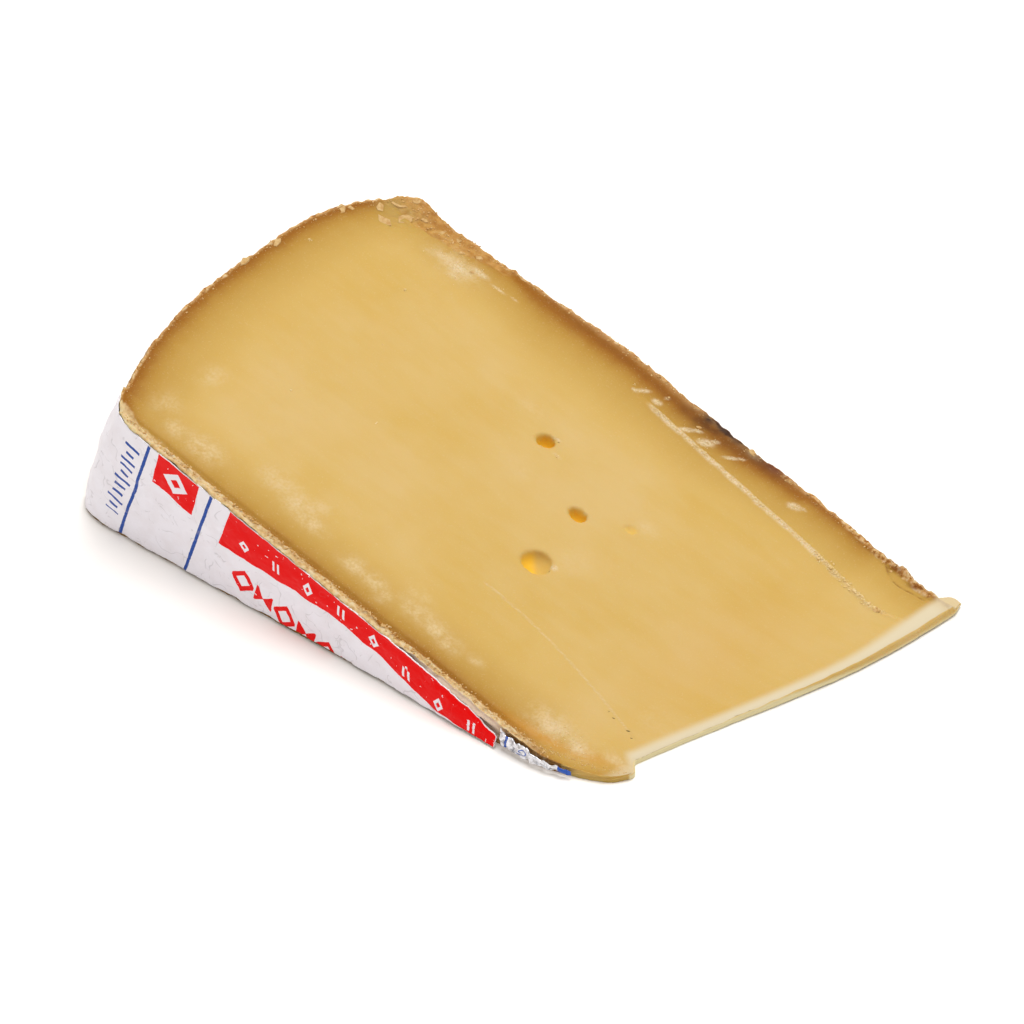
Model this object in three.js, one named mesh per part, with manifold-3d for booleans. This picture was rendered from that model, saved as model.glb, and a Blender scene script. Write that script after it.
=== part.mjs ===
// A wedge of hard, washed-rind cheese, cut from a wheel and lying on its lower cut face.
// Millimetres, +Z up. X runs from the bulging heel to the thin tip, Y from the labelled flat rind
// to the bare one. The origin is on the table, under the middle of the wedge.
import * as THREE from "three";
import { mergeVertices } from "three/addons/utils/BufferGeometryUtils.js";
import Module from "manifold-3d";

const wasm = await Module();
wasm.setup();

// Driving sizes of the wedge
const LABEL_Y = -43; // flat rind that carries the label
const BARE_Y = 43; // flat rind on the other side: the wheel was 86 mm high
const HEEL_X = -79.0; // furthest point of the heel, at the table
const CREST_Y = 8; // where the heel bulges furthest
const HEEL_LEAN = 11.0; // how much further in the heel's upper edge stands than its foot
const LEAN_POWER = 1.25; // over 1, the heel bulges between foot and edge
const LABEL_SHOULDER = { sag: 11.6, power: 2.5, reach: CREST_Y - LABEL_Y };
const BARE_SHOULDER = { sag: 11.2, power: 3.3, reach: BARE_Y - CREST_Y };
const ROUND_REACH = 6; // length of edge that each rounded heel corner takes
const LABEL_ROUND = { x: 0.6, y: 1.05 }; // how far the corner at the label is rounded in
const BARE_ROUND = { x: 0.6, y: -0.3 };
const BARE_BULGE = { x: -4, out: 1.2, spread: 22 }; // the bare rind swells a little along its middle

// The upper cut face rises from the tip to the heel, a little steeper along the label
const LABEL_SLOPE = { rise: 0.262, apexX: 54 };
const BARE_SLOPE = { rise: 0.243, apexX: 62.5 };
const TIP_THICK = { label: 0.9, bare: 1.2 };
const TIP_SOFTNESS = 2.6; // how gently the slope runs out into the thin tip
const LIFT = { startX: 60, endX: 78, height: 1.2 }; // the tip has dried and curls up off the table
const LIFT_BLOCK = { wide: 104, tall: 4 }; // the block that clears the space under it

// The tip edge in plan: a bowed line from the near lobe to the far flap
const TIP_START = { x: 60.6, y: -31 };
const TIP_SPAN = 70;
const TIP_BOW = { run: 25.4, bend: 6.6, wave: 0.7, phase: 0.4 };
const TIP_UNDERCUT = 1.0; // how much further back the tip's foot lies than its lip
const LOBE = { y: -35.5, out: 3, from: -31.5, over: 3.5 };
const NEAR_CHIP = { startX: 46.5, shallow: 5, shallowPower: 1.3, steep: 2.5, steepPower: 8 };
// How far the bare rind draws in towards the tip, at its foot and its upper edge, and where crust is missing
const FLAP = { foot: 2, edge: 6.2, startX: 42, thin: 0.24, over: 0.4 };
const FLAP_NOTCH = { x: 65, half: 7, depth: 2.2 };

// Relief of the cut face and the rind
const BAND = { width: 2.7, edge: 0.8, lumps: 0.3, lumpSize: 2.2, groove: 0.4, grooveHalf: 0.6, fade: 10 };
const LEDGE = { startX: 2, fade: 6, y: 36.9, drift: 0.1, leastY: 27.4, depth: 0.55, width: 1.1 };
const LEDGE_BEND = { startX: 42, amount: 0.005 }; // the ledge turns in towards the tip's middle
const FAR_CORNER = { x: -50, reach: 34, fade: 6, width: 6.5, depth: 1.3 };
const HORN = { x: -58, y: 42, rise: 0.5, spread: 3.5 };
const CRAG = { bare: 0.4, heel: 0.2, near: 0.25, tip: 0.1, size: 3.4 };
const CRAG_START = { label: 0.9, heel: 0.1, over: 0.1 }; // share of each wall where its crags begin
const CRAG_BLEND = { large: 0.65, small: 0.35, finer: 2.3, upright: 1.6 };
const EDGE_CRUST = { width: 1.6, height: 0.3, least: 0.4, size: 2 };
const END_CRUST = { x: 60, rise: 0.9, spread: 8 }; // the bare rind's last piece stands proud

const EYE_FACES = { around: 20, down: 14 };

// Eyes: centre in plan, half axes, and how far each centre lies under the cut face
const EYES = [
  { x: -0.8, y: 14.4, rx: 1.95, ry: 1.6, rz: 2.1, under: 0.7 },
  { x: 14.9, y: 5.2, rx: 1.9, ry: 1.5, rz: 1.9, under: 0.6 },
  { x: 17.3, y: -9.3, rx: 3.1, ry: 2.6, rz: 2.0, under: 0.1 },
  { x: 17.6, y: 12, rx: 1.5, ry: 1.2, rz: 0.8, under: -0.35 },
];

// The label is foil-backed paper, pressed on the rind and torn off near the tip
const SKIN_GAP = 0.35; // least air between rind and label
const SKIN_THICK = 0.35;
const WRINKLE = { height: 0.16, long: 3.1, tall: 2.4 };
const SKIN_STEP = 0.004; // how far apart the points are that give the wall's direction
const LABEL = { wrap: 0.05, turn: 0.05, endX: 37.5, low: 0.6, underEdge: 0.4 };
const LABEL_TEAR = { startX: 18, drop: 1.2 };
const LABEL_FLARE = { startX: 8, run: 25, out: 0.9 }; // near its torn end the lower edge stands off the rind
const RIND_BARED = { startX: -40, run: 40, drop: 0.8 }; // how much rind shows above the label further along
const SCRAP = { startX: 38.4, endX: 51.2, low: 0.8, tall: 2.6, underEdge: 0.15, taper: 0.62 };
const CRUMPLE = { height: 0.4, long: 1.7, folds: 2.2 };

// How finely the surfaces are divided
const ALONG = 54;
const ACROSS = 30;
const WALL_SHARES = [0, 0.1, 0.28, 0.48, 0.68, 0.86, 0.96, 1];
const CROWD_ALONG = 0.095; // how strongly the rows crowd towards the ends
const CROWD_ACROSS = 0.12;
const LABEL_GRID = { columns: 54, rows: 5 };
const SCRAP_GRID = { columns: 18, rows: 4 };
const MERGE_WITHIN = 1e-4;

const mix = (a, b, t) => a + (b - a) * t;
const clamp = (t) => Math.min(1, Math.max(0, t));
const ease = (t) => clamp(t) ** 2 * (3 - 2 * clamp(t));
const crowd = (t, amount) => t - amount * Math.sin(2 * Math.PI * t);

// Repeatable noise from -1 to 1: smooth hills with one lattice point per unit
function lattice(i, j) {
  const wave = Math.sin(i * 127.1 + j * 311.7) * 43758.5453;
  return 2 * (wave - Math.floor(wave)) - 1;
}

function hills(x, y) {
  const i = Math.floor(x);
  const j = Math.floor(y);
  const near = mix(lattice(i, j), lattice(i + 1, j), ease(x - i));
  const far = mix(lattice(i, j + 1), lattice(i + 1, j + 1), ease(x - i));
  return mix(near, far, ease(y - j));
}

// Lumps of a given size with smaller ones on them
function crags(x, y, size) {
  const small = size / CRAG_BLEND.finer;
  return CRAG_BLEND.large * hills(x / size, y / size) + CRAG_BLEND.small * hills(x / small, y / small);
}

// Height of the upper cut face before its relief
function cutPlane(x, y) {
  const across = clamp((y - LABEL_Y) / (BARE_Y - LABEL_Y));
  const rise = mix(LABEL_SLOPE.rise, BARE_SLOPE.rise, across);
  const apexX = mix(LABEL_SLOPE.apexX, BARE_SLOPE.apexX, across);
  const slope = rise * (apexX - x);
  const lift = LIFT.height * ease((x - LIFT.startX) / (LIFT.endX - LIFT.startX));
  const thick = mix(TIP_THICK.label, TIP_THICK.bare, across) + lift;
  return (slope + thick + Math.hypot(slope - thick, TIP_SOFTNESS)) / 2;
}

// The strip along the bare rind lies a little lower than the rest of the face
function ledgeDrop(x, y) {
  const bend = LEDGE_BEND.amount * Math.max(0, x - LEDGE_BEND.startX) ** 2;
  const edgeY = Math.max(LEDGE.leastY, LEDGE.y - LEDGE.drift * (x - LEDGE.startX) - bend);
  return LEDGE.depth * ease((y - edgeY) / LEDGE.width) * ease((x - LEDGE.startX) / LEDGE.fade);
}

// The corner where heel and bare rind meet has broken away in a shallow bevel
function cornerDrop(x, y) {
  const start = ease((x - FAR_CORNER.x + FAR_CORNER.fade) / FAR_CORNER.fade);
  const along = clamp(1 - (x - FAR_CORNER.x) / FAR_CORNER.reach) * start;
  const width = Math.max(FAR_CORNER.width * along, Number.EPSILON);
  return FAR_CORNER.depth * along * clamp((y - BARE_Y + width) / width);
}

// At the same corner a horn of rind stands a little proud
function hornRise(x, y) {
  const distance = Math.hypot(x - HORN.x, y - HORN.y);
  return HORN.rise * Math.exp(-((distance / HORN.spread) ** 2));
}

// Crumbly rind along the label: a shallow groove against the paste, then a lumpy band
function bandRelief(x, y) {
  const inside = y - LABEL_Y;
  const groove = BAND.groove * Math.exp(-(((inside - BAND.width) / BAND.grooveHalf) ** 2));
  const lumps = BAND.lumps * crags(x, 2 * y, BAND.lumpSize) * ease((BAND.width - inside) / BAND.edge);
  return (lumps - groove) * ease((NEAR_CHIP.startX - x) / BAND.fade);
}

function crustRelief(x, y) {
  const fromBare = BARE_Y - y;
  const fromHeel = x - heelX(y, 1);
  const closeness = clamp(1 - Math.min(fromBare, fromHeel) / EDGE_CRUST.width);
  const end = END_CRUST.rise * Math.exp(-(((x - END_CRUST.x) / END_CRUST.spread) ** 2));
  const lumps = EDGE_CRUST.height * (EDGE_CRUST.least + crags(x, y, EDGE_CRUST.size));
  return closeness * (lumps + end);
}

function cutHeight(x, y) {
  const broken = ledgeDrop(x, y) + cornerDrop(x, y) - hornRise(x, y);
  return cutPlane(x, y) - broken + bandRelief(x, y) + crustRelief(x, y);
}

// Heel's X at a place across and a share of the height: 0 is the foot, 1 the upper edge
function heelX(y, share) {
  const shoulder = y < CREST_Y ? LABEL_SHOULDER : BARE_SHOULDER;
  const out = Math.min(1, Math.abs(y - CREST_Y) / shoulder.reach);
  return HEEL_X + HEEL_LEAN * share ** LEAN_POWER + shoulder.sag * out ** shoulder.power;
}

const rounded = (distance) => clamp(1 - distance / ROUND_REACH) ** 2;

function heelPoint(across, share) {
  const y = mix(LABEL_Y, BARE_Y, across);
  const nearLabel = rounded(y - LABEL_Y);
  const nearBare = rounded(BARE_Y - y);
  return new THREE.Vector2(
    heelX(y, share) + LABEL_ROUND.x * nearLabel + BARE_ROUND.x * nearBare,
    y + LABEL_ROUND.y * nearLabel + BARE_ROUND.y * nearBare,
  );
}

function tipX(y, share) {
  const t = (y - TIP_START.y) / TIP_SPAN;
  const wave = TIP_BOW.wave * Math.sin(2 * Math.PI * (t - TIP_BOW.phase));
  const lobe = LOBE.out * ease((LOBE.from - y) / LOBE.over);
  const back = TIP_UNDERCUT * (1 - share);
  return TIP_START.x + TIP_BOW.run * t - TIP_BOW.bend * t * t + wave + lobe - back;
}

const overFlap = (share) => ease((share - FLAP.thin) / FLAP.over);
const farEndY = (share) => BARE_Y - mix(FLAP.foot, FLAP.edge, overFlap(share));

function tipPoint(across, share) {
  const y = mix(LOBE.y, farEndY(share), across);
  return new THREE.Vector2(tipX(y, share), y);
}

function labelPoint(along, share) {
  const startX = heelX(LABEL_Y, share);
  const endX = tipX(LOBE.y, share);
  const x = mix(startX, endX, along);
  const near = rounded(x - startX);
  const chip = clamp((x - NEAR_CHIP.startX) / (endX - NEAR_CHIP.startX));
  const drawn = NEAR_CHIP.shallow * chip ** NEAR_CHIP.shallowPower;
  const y = LABEL_Y + drawn + NEAR_CHIP.steep * chip ** NEAR_CHIP.steepPower;
  return new THREE.Vector2(x + LABEL_ROUND.x * near, y + LABEL_ROUND.y * near);
}

function barePoint(along, share) {
  const startX = heelX(BARE_Y, share);
  const endY = farEndY(share);
  const endX = tipX(endY, share);
  const x = mix(startX, endX, along);
  const near = rounded(x - startX);
  const drawn = (BARE_Y - endY) * ease((x - FLAP.startX) / (endX - FLAP.startX));
  const gap = Math.exp(-(((x - FLAP_NOTCH.x) / FLAP_NOTCH.half) ** 2));
  const missing = FLAP_NOTCH.depth * (1 - overFlap(share)) * gap;
  const swell = BARE_BULGE.out * Math.exp(-(((x - BARE_BULGE.x) / BARE_BULGE.spread) ** 2));
  return new THREE.Vector2(x + BARE_ROUND.x * near, BARE_Y + swell - drawn - missing + BARE_ROUND.y * near);
}

// One walk round the wedge, anticlockwise from above, with how rough the rind is at each step
const OUTLINE = [
  ...Array.from({ length: ALONG }, (_, i) => {
    const along = crowd(i / ALONG, CROWD_ALONG);
    const rough = CRAG.near * ease((along - CRAG_START.label) / CRAG_START.over);
    return { at: (share) => labelPoint(along, share), rough };
  }),
  ...Array.from({ length: ACROSS }, (_, i) => {
    const across = crowd(i / ACROSS, CROWD_ACROSS);
    return { at: (share) => tipPoint(across, share), rough: CRAG.tip };
  }),
  ...Array.from({ length: ALONG }, (_, i) => {
    const along = crowd(1 - i / ALONG, CROWD_ALONG);
    return { at: (share) => barePoint(along, share), rough: CRAG.bare };
  }),
  ...Array.from({ length: ACROSS }, (_, i) => {
    const across = crowd(1 - i / ACROSS, CROWD_ACROSS);
    const rough = CRAG.heel * ease((across - CRAG_START.heel) / CRAG_START.over);
    return { at: (share) => heelPoint(across, share), rough };
  }),
];

// Unit vector out of the outline in plan, from the points before and after
function outward(before, after) {
  return new THREE.Vector2(after.y - before.y, before.x - after.x).normalize();
}

function wallRing(share) {
  const plain = OUTLINE.map((step) => step.at(share));
  const count = plain.length;
  return plain.map((point, i) => {
    const height = cutPlane(point.x, point.y) * share;
    const normal = outward(plain[(i + count - 1) % count], plain[(i + 1) % count]);
    const travel = point.x + point.y;
    const rough = OUTLINE[i].rough * crags(travel, height * CRAG_BLEND.upright, CRAG.size);
    return point.clone().addScaledVector(normal, rough);
  });
}

// Plan position inside a ring, from its four sides (a Coons patch)
function insideRing(ring, i, j) {
  const label = ring[i];
  const tip = ring[(ALONG + j) % ring.length];
  const bare = ring[2 * ALONG + ACROSS - i];
  const heel = ring[(2 * (ALONG + ACROSS) - j) % ring.length];
  const u = crowd(i / ALONG, CROWD_ALONG);
  const v = crowd(j / ACROSS, CROWD_ACROSS);
  const corner = (k) => ring[k].clone();
  const corners = corner(0).multiplyScalar((1 - u) * (1 - v));
  corners.addScaledVector(corner(ALONG), u * (1 - v));
  corners.addScaledVector(corner(ALONG + ACROSS), u * v);
  corners.addScaledVector(corner(2 * ALONG + ACROSS), (1 - u) * v);
  const sides = label.clone().multiplyScalar(1 - v).addScaledVector(bare, v);
  return sides.addScaledVector(heel, 1 - u).addScaledVector(tip, u).sub(corners);
}

// A mesh from vertices and faces that are gathered as the shape is walked
class Shell {
  points = [];
  faces = [];

  vertex(x, y, z) {
    this.points.push(x, y, z);
    return this.points.length / 3 - 1;
  }

  quad(a, b, c, d) {
    this.faces.push(a, b, c, a, c, d);
  }

  // Joins two rows of vertices of equal length, closing round to the start if asked
  strip(lower, upper, closed) {
    const count = closed ? lower.length : lower.length - 1;
    for (let i = 0; i < count; i++) {
      const next = (i + 1) % lower.length;
      this.quad(lower[i], lower[next], upper[next], upper[i]);
    }
  }

  geometry() {
    const made = new THREE.BufferGeometry();
    made.setAttribute("position", new THREE.Float32BufferAttribute(this.points, 3));
    made.setIndex(this.faces);
    return made;
  }
}

function solidOf(geometry) {
  const bare = geometry.clone();
  bare.deleteAttribute("normal");
  bare.deleteAttribute("uv");
  const merged = mergeVertices(bare, MERGE_WITHIN);
  return new wasm.Manifold(
    new wasm.Mesh({
      numProp: 3,
      vertProperties: merged.getAttribute("position").array,
      triVerts: new Uint32Array(merged.index.array),
    }),
  );
}

function geometryOf(solid) {
  const mesh = solid.getMesh();
  const made = new THREE.BufferGeometry();
  made.setAttribute("position", new THREE.Float32BufferAttribute(mesh.vertProperties, 3));
  made.setIndex(Array.from(mesh.triVerts));
  made.computeVertexNormals();
  return made;
}

// The wedge itself: rings of wall, the upper cut face as a grid, and a flat foot
function wedgeGeometry() {
  const shell = new Shell();
  const rings = WALL_SHARES.map(wallRing);
  const top = rings[rings.length - 1];
  const rows = rings.map((ring, k) =>
    ring.map((point, i) => shell.vertex(point.x, point.y, cutHeight(top[i].x, top[i].y) * WALL_SHARES[k])),
  );
  for (let k = 0; k + 1 < rows.length; k++) shell.strip(rows[k], rows[k + 1], true);
  addFoot(shell, rings[0], rows[0]);
  addCutFace(shell, top, rows[rows.length - 1]);
  return shell.geometry();
}

function addFoot(shell, ring, row) {
  for (const [a, b, c] of THREE.ShapeUtils.triangulateShape(ring, [])) {
    shell.faces.push(row[a], row[c], row[b]);
  }
}

function addCutFace(shell, ring, row) {
  const index = (i, j) => {
    if (j === 0) return row[i];
    if (i === ALONG) return row[ALONG + j];
    if (j === ACROSS) return row[2 * ALONG + ACROSS - i];
    if (i === 0) return row[2 * (ALONG + ACROSS) - j];
    return null;
  };
  const grid = [];
  for (let i = 0; i <= ALONG; i++) {
    grid.push([]);
    for (let j = 0; j <= ACROSS; j++) {
      const at = insideRing(ring, i, j);
      grid[i].push(index(i, j) ?? shell.vertex(at.x, at.y, cutHeight(at.x, at.y)));
    }
  }
  for (let i = 0; i < ALONG; i++) {
    for (let j = 0; j < ACROSS; j++) {
      shell.quad(grid[i][j], grid[i + 1][j], grid[i + 1][j + 1], grid[i][j + 1]);
    }
  }
}

function eyeSolid(eye) {
  const ball = new THREE.SphereGeometry(1, EYE_FACES.around, EYE_FACES.down);
  ball.scale(eye.rx, eye.ry, eye.rz);
  ball.translate(eye.x, eye.y, cutPlane(eye.x, eye.y) - eye.under);
  return solidOf(ball);
}

// The space under the curled tip, cut away as a block with a tilted top
function liftSolid() {
  const run = LIFT.endX - LIFT.startX;
  const block = new THREE.BoxGeometry(2 * run, LIFT_BLOCK.wide, LIFT_BLOCK.tall);
  block.translate(run, 0, -LIFT_BLOCK.tall / 2);
  block.rotateY(-Math.atan2(LIFT.height, run));
  block.translate(LIFT.startX, 0, 0);
  return solidOf(block);
}

function cheeseGeometry() {
  let solid = solidOf(wedgeGeometry()).subtract(liftSolid());
  for (const eye of EYES) solid = solid.subtract(eyeSolid(eye));
  return geometryOf(solid);
}

// A thin skin over the labelled rind: columns along the path, rows up the wall, two faces
function skinGeometry(columns, rows, placeAt) {
  const shell = new Shell();
  const face = (depth) =>
    Array.from({ length: rows + 1 }, (_, r) =>
      Array.from({ length: columns + 1 }, (_, c) => {
        const at = placeAt(c / columns, r / rows, depth);
        return shell.vertex(at.x, at.y, at.z);
      }),
    );
  const outer = face(1);
  const inner = face(0);
  for (let r = 0; r < rows; r++) {
    shell.strip(outer[r], outer[r + 1], false);
    shell.strip(inner[r + 1], inner[r], false);
  }
  shell.strip(inner[0], outer[0], false);
  shell.strip(outer[rows], inner[rows], false);
  const column = (grid, c) => grid.map((line) => line[c]);
  shell.strip(column(outer, 0), column(inner, 0), false);
  shell.strip(column(inner, columns), column(outer, columns), false);
  return shell.geometry();
}

// Point of the labelled wall at a place along the skin's path and a height, moved outward
function onWall(pathAt, travel, height, distance) {
  const wallTop = cutPlane(pathAt(travel, 1).x, pathAt(travel, 1).y);
  const share = clamp(height / wallTop);
  const before = pathAt(Math.max(0, travel - SKIN_STEP), share);
  const after = pathAt(Math.min(1, travel + SKIN_STEP), share);
  const plan = pathAt(travel, share).addScaledVector(outward(before, after), distance);
  return new THREE.Vector3(plan.x, plan.y, height);
}

// The label starts on the heel, turns the rounded corner and runs along the flat rind
function labelPath(travel, share) {
  if (travel < LABEL.turn) return heelPoint(LABEL.wrap * (1 - travel / LABEL.turn), share);
  const startX = heelX(LABEL_Y, share);
  const reach = (LABEL.endX - startX) / (tipX(LOBE.y, share) - startX);
  return labelPoint((reach * (travel - LABEL.turn)) / (1 - LABEL.turn), share);
}

function labelGeometry() {
  return skinGeometry(LABEL_GRID.columns, LABEL_GRID.rows, (travel, up, depth) => {
    const edge = labelPath(travel, 1);
    const bared = RIND_BARED.drop * ease((edge.x - RIND_BARED.startX) / RIND_BARED.run);
    const tear = LABEL_TEAR.drop * ease((edge.x - LABEL_TEAR.startX) / (LABEL.endX - LABEL_TEAR.startX));
    const high = cutPlane(edge.x, edge.y) - LABEL.underEdge - bared - tear;
    const height = mix(LABEL.low, high, up);
    const wrinkle = WRINKLE.height * (1 + hills(edge.x / WRINKLE.long, height / WRINKLE.tall));
    const flare = LABEL_FLARE.out * (1 - up) * ease((edge.x - LABEL_FLARE.startX) / LABEL_FLARE.run);
    return onWall(labelPath, travel, height, SKIN_GAP + wrinkle + flare + SKIN_THICK * depth);
  });
}

// The last scrap of label by the tip, crumpled and standing off the rind
function scrapPath(travel, share) {
  const startX = heelX(LABEL_Y, share);
  const x = mix(SCRAP.startX, SCRAP.endX, travel);
  return labelPoint((x - startX) / (tipX(LOBE.y, share) - startX), share);
}

function scrapGeometry() {
  return skinGeometry(SCRAP_GRID.columns, SCRAP_GRID.rows, (travel, up, depth) => {
    const edge = scrapPath(travel, 1);
    const room = cutPlane(edge.x, edge.y) - SCRAP.underEdge - SCRAP.low;
    const tall = Math.min(room, SCRAP.tall) * mix(1, SCRAP.taper, travel);
    const fold = CRUMPLE.height * (1 + hills(edge.x / CRUMPLE.long, up * CRUMPLE.folds));
    const height = SCRAP.low + up * tall;
    return onWall(scrapPath, travel, height, SKIN_GAP + fold + SKIN_THICK * depth);
  });
}

function meshOf(name, geometry, look) {
  const mesh = new THREE.Mesh(geometry, new THREE.MeshStandardMaterial(look));
  mesh.name = name;
  return mesh;
}

const group = new THREE.Group();
group.add(meshOf("cheese", cheeseGeometry(), { color: 0xdcb766, roughness: 0.55, metalness: 0 }));
group.add(meshOf("label", labelGeometry(), { color: 0xe4e2ea, roughness: 0.4, metalness: 0.1 }));
group.add(meshOf("label_end", scrapGeometry(), { color: 0xd6d8de, roughness: 0.3, metalness: 0.6 }));

// The origin stands under the middle of the whole piece
const middle = new THREE.Box3().setFromObject(group).getCenter(new THREE.Vector3());
for (const mesh of group.children) mesh.geometry.translate(-middle.x, -middle.y, 0);

export default group;
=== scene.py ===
"""A wedge of hard, washed-rind cheese with the torn paper label of its wheel.

The wedge lies on its lower cut face. Its shape is worked out in millimetres in the wedge's own
numbers: X from the bulging heel to the thin tip, Y from the labelled flat rind to the bare one.
"""
import logging
import math
from collections.abc import Iterable, Sequence
from dataclasses import dataclass, field
from enum import Enum

import bpy
import numpy as np
from mathutils import Matrix, Vector


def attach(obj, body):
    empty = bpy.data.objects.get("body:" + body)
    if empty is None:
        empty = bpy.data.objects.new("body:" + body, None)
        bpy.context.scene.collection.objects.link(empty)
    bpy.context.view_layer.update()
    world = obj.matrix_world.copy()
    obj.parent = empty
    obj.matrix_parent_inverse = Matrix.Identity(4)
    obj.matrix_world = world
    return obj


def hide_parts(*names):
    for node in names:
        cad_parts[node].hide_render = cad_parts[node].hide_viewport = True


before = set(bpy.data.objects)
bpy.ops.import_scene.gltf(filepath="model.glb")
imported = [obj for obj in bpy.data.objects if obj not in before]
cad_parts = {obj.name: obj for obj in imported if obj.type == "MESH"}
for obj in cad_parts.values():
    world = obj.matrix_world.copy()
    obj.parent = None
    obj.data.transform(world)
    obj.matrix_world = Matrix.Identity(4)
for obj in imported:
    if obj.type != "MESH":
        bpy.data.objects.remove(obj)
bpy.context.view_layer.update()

MM = 0.001
OWN_ZERO = (0.125, 0.257)  # where the wedge's own zero lies in the frame, in mm
STUDIO_LIGHT = (1.37, 1.325, 1.325)  # how bright a white base colour shows, by channel
SHEEN = 0.012  # what the surface's gloss adds to every colour
DARKEST = 0.003
log = logging.getLogger("wedge")

Array = np.ndarray
Colour = tuple[float, float, float]
Socket = bpy.types.NodeSocket


def mix(low: Array, high: Array, share: Array) -> Array:
    """Straight blend from low to high."""
    return low + (high - low) * share


def ease(share: Array) -> Array:
    """Smooth step from 0 to 1."""
    share = np.clip(share, 0.0, 1.0)
    return share * share * (3.0 - 2.0 * share)


def crowd(share: Array, amount: float) -> Array:
    """Even steps from 0 to 1, drawn together at both ends."""
    return share - amount * np.sin(2.0 * np.pi * share)


def bell(distance: Array, width: float) -> Array:
    """1 at no distance, and about a third at one width."""
    return np.exp(-((distance / width) ** 2))


def lattice(i: Array, j: Array) -> Array:
    """Repeatable number from -1 to 1 for a lattice point."""
    wave = np.sin(i * 127.1 + j * 311.7) * 43758.5453
    return 2.0 * (wave - np.floor(wave)) - 1.0


def hills(x: Array, y: Array) -> Array:
    """Smooth noise from -1 to 1 with one lattice point per unit.

    Args:
        x, y: Places, in lattice steps.
    Returns:
        The noise at each place.
    """
    i, j = np.floor(x), np.floor(y)
    near = mix(lattice(i, j), lattice(i + 1, j), ease(x - i))
    far = mix(lattice(i, j + 1), lattice(i + 1, j + 1), ease(x - i))
    return mix(near, far, ease(y - j))


def crags(x: Array, y: Array, size: float) -> Array:
    """Lumps of a given size with smaller ones on them."""
    small = size / 2.3
    return 0.65 * hills(x / size, y / size) + 0.35 * hills(x / small, y / small)


def grit(x: Array, y: Array, size: float, octaves: int = 3) -> Array:
    """Fine roughness: octaves of turned noise, each half as large and half as high.

    Args:
        x, y: Places, in millimetres.
        size: Width of the largest lumps.
        octaves: How many sizes of lump there are.
    Returns:
        The roughness, most of it between -1 and 1.
    """
    total, weight = 0.0, 1.0
    for octave in range(octaves):
        turn = 0.6 + 1.1 * octave
        a = x * math.cos(turn) - y * math.sin(turn)
        b = x * math.sin(turn) + y * math.cos(turn)
        total = total + weight * hills(a / size + 17.0 * octave, b / size - 9.0 * octave)
        size, weight = size / 2.1, weight / 2.0
    return total


def to_frame(points: Array) -> Array:
    """Moves points in the wedge's own millimetres into the frame, in metres."""
    return (np.asarray(points, float) + (*OWN_ZERO, 0.0)) * MM


def spun(angle: float) -> Array:
    """Matrix of a turn about Z, by an angle in radians."""
    c, s = math.cos(angle), math.sin(angle)
    return np.array([[c, -s, 0.0], [s, c, 0.0], [0.0, 0.0, 1.0]])


def linear(*shown: int) -> Colour:
    """Turns a colour as a screen shows it, 0 to 255, into linear light."""
    shares = [value / 255.0 for value in shown]
    return tuple(s / 12.92 if s <= 0.04045 else ((s + 0.055) / 1.055) ** 2.4 for s in shares)


def seen(*shown: int) -> Colour:
    """The base colour that shows as the given one, 0 to 255, in the studio's light."""
    lit = zip(linear(*shown), STUDIO_LIGHT)
    return tuple(max(DARKEST, (value - SHEEN) / full) for value, full in lit)


@dataclass(frozen=True)
class Spot:
    """A soft oval place on the cut face, in millimetres."""

    x: float
    y: float
    long: float
    wide: float
    strength: float = 1.0
    turn: float = 0.0

    def mask(self, x: Array, y: Array) -> Array:
        """How strongly the spot covers each place.

        Args:
            x, y: Places, in the wedge's own millimetres.
        Returns:
            The cover, up to the spot's strength.
        """
        turn = math.radians(self.turn)
        a = (x - self.x) * math.cos(turn) + (y - self.y) * math.sin(turn)
        b = (y - self.y) * math.cos(turn) - (x - self.x) * math.sin(turn)
        return self.strength * np.exp(-(a / self.long) ** 2 - (b / self.wide) ** 2)


def covered(spots: Iterable[Spot], x: Array, y: Array) -> Array:
    """The strongest of several spots at each place.

    Args:
        spots: The spots.
        x, y: Places, in the wedge's own millimetres.
    Returns:
        The cover at each place.
    """
    total = np.zeros(np.broadcast(x, y).shape)
    for spot in spots:
        total = np.maximum(total, spot.mask(x, y))
    return total


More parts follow.
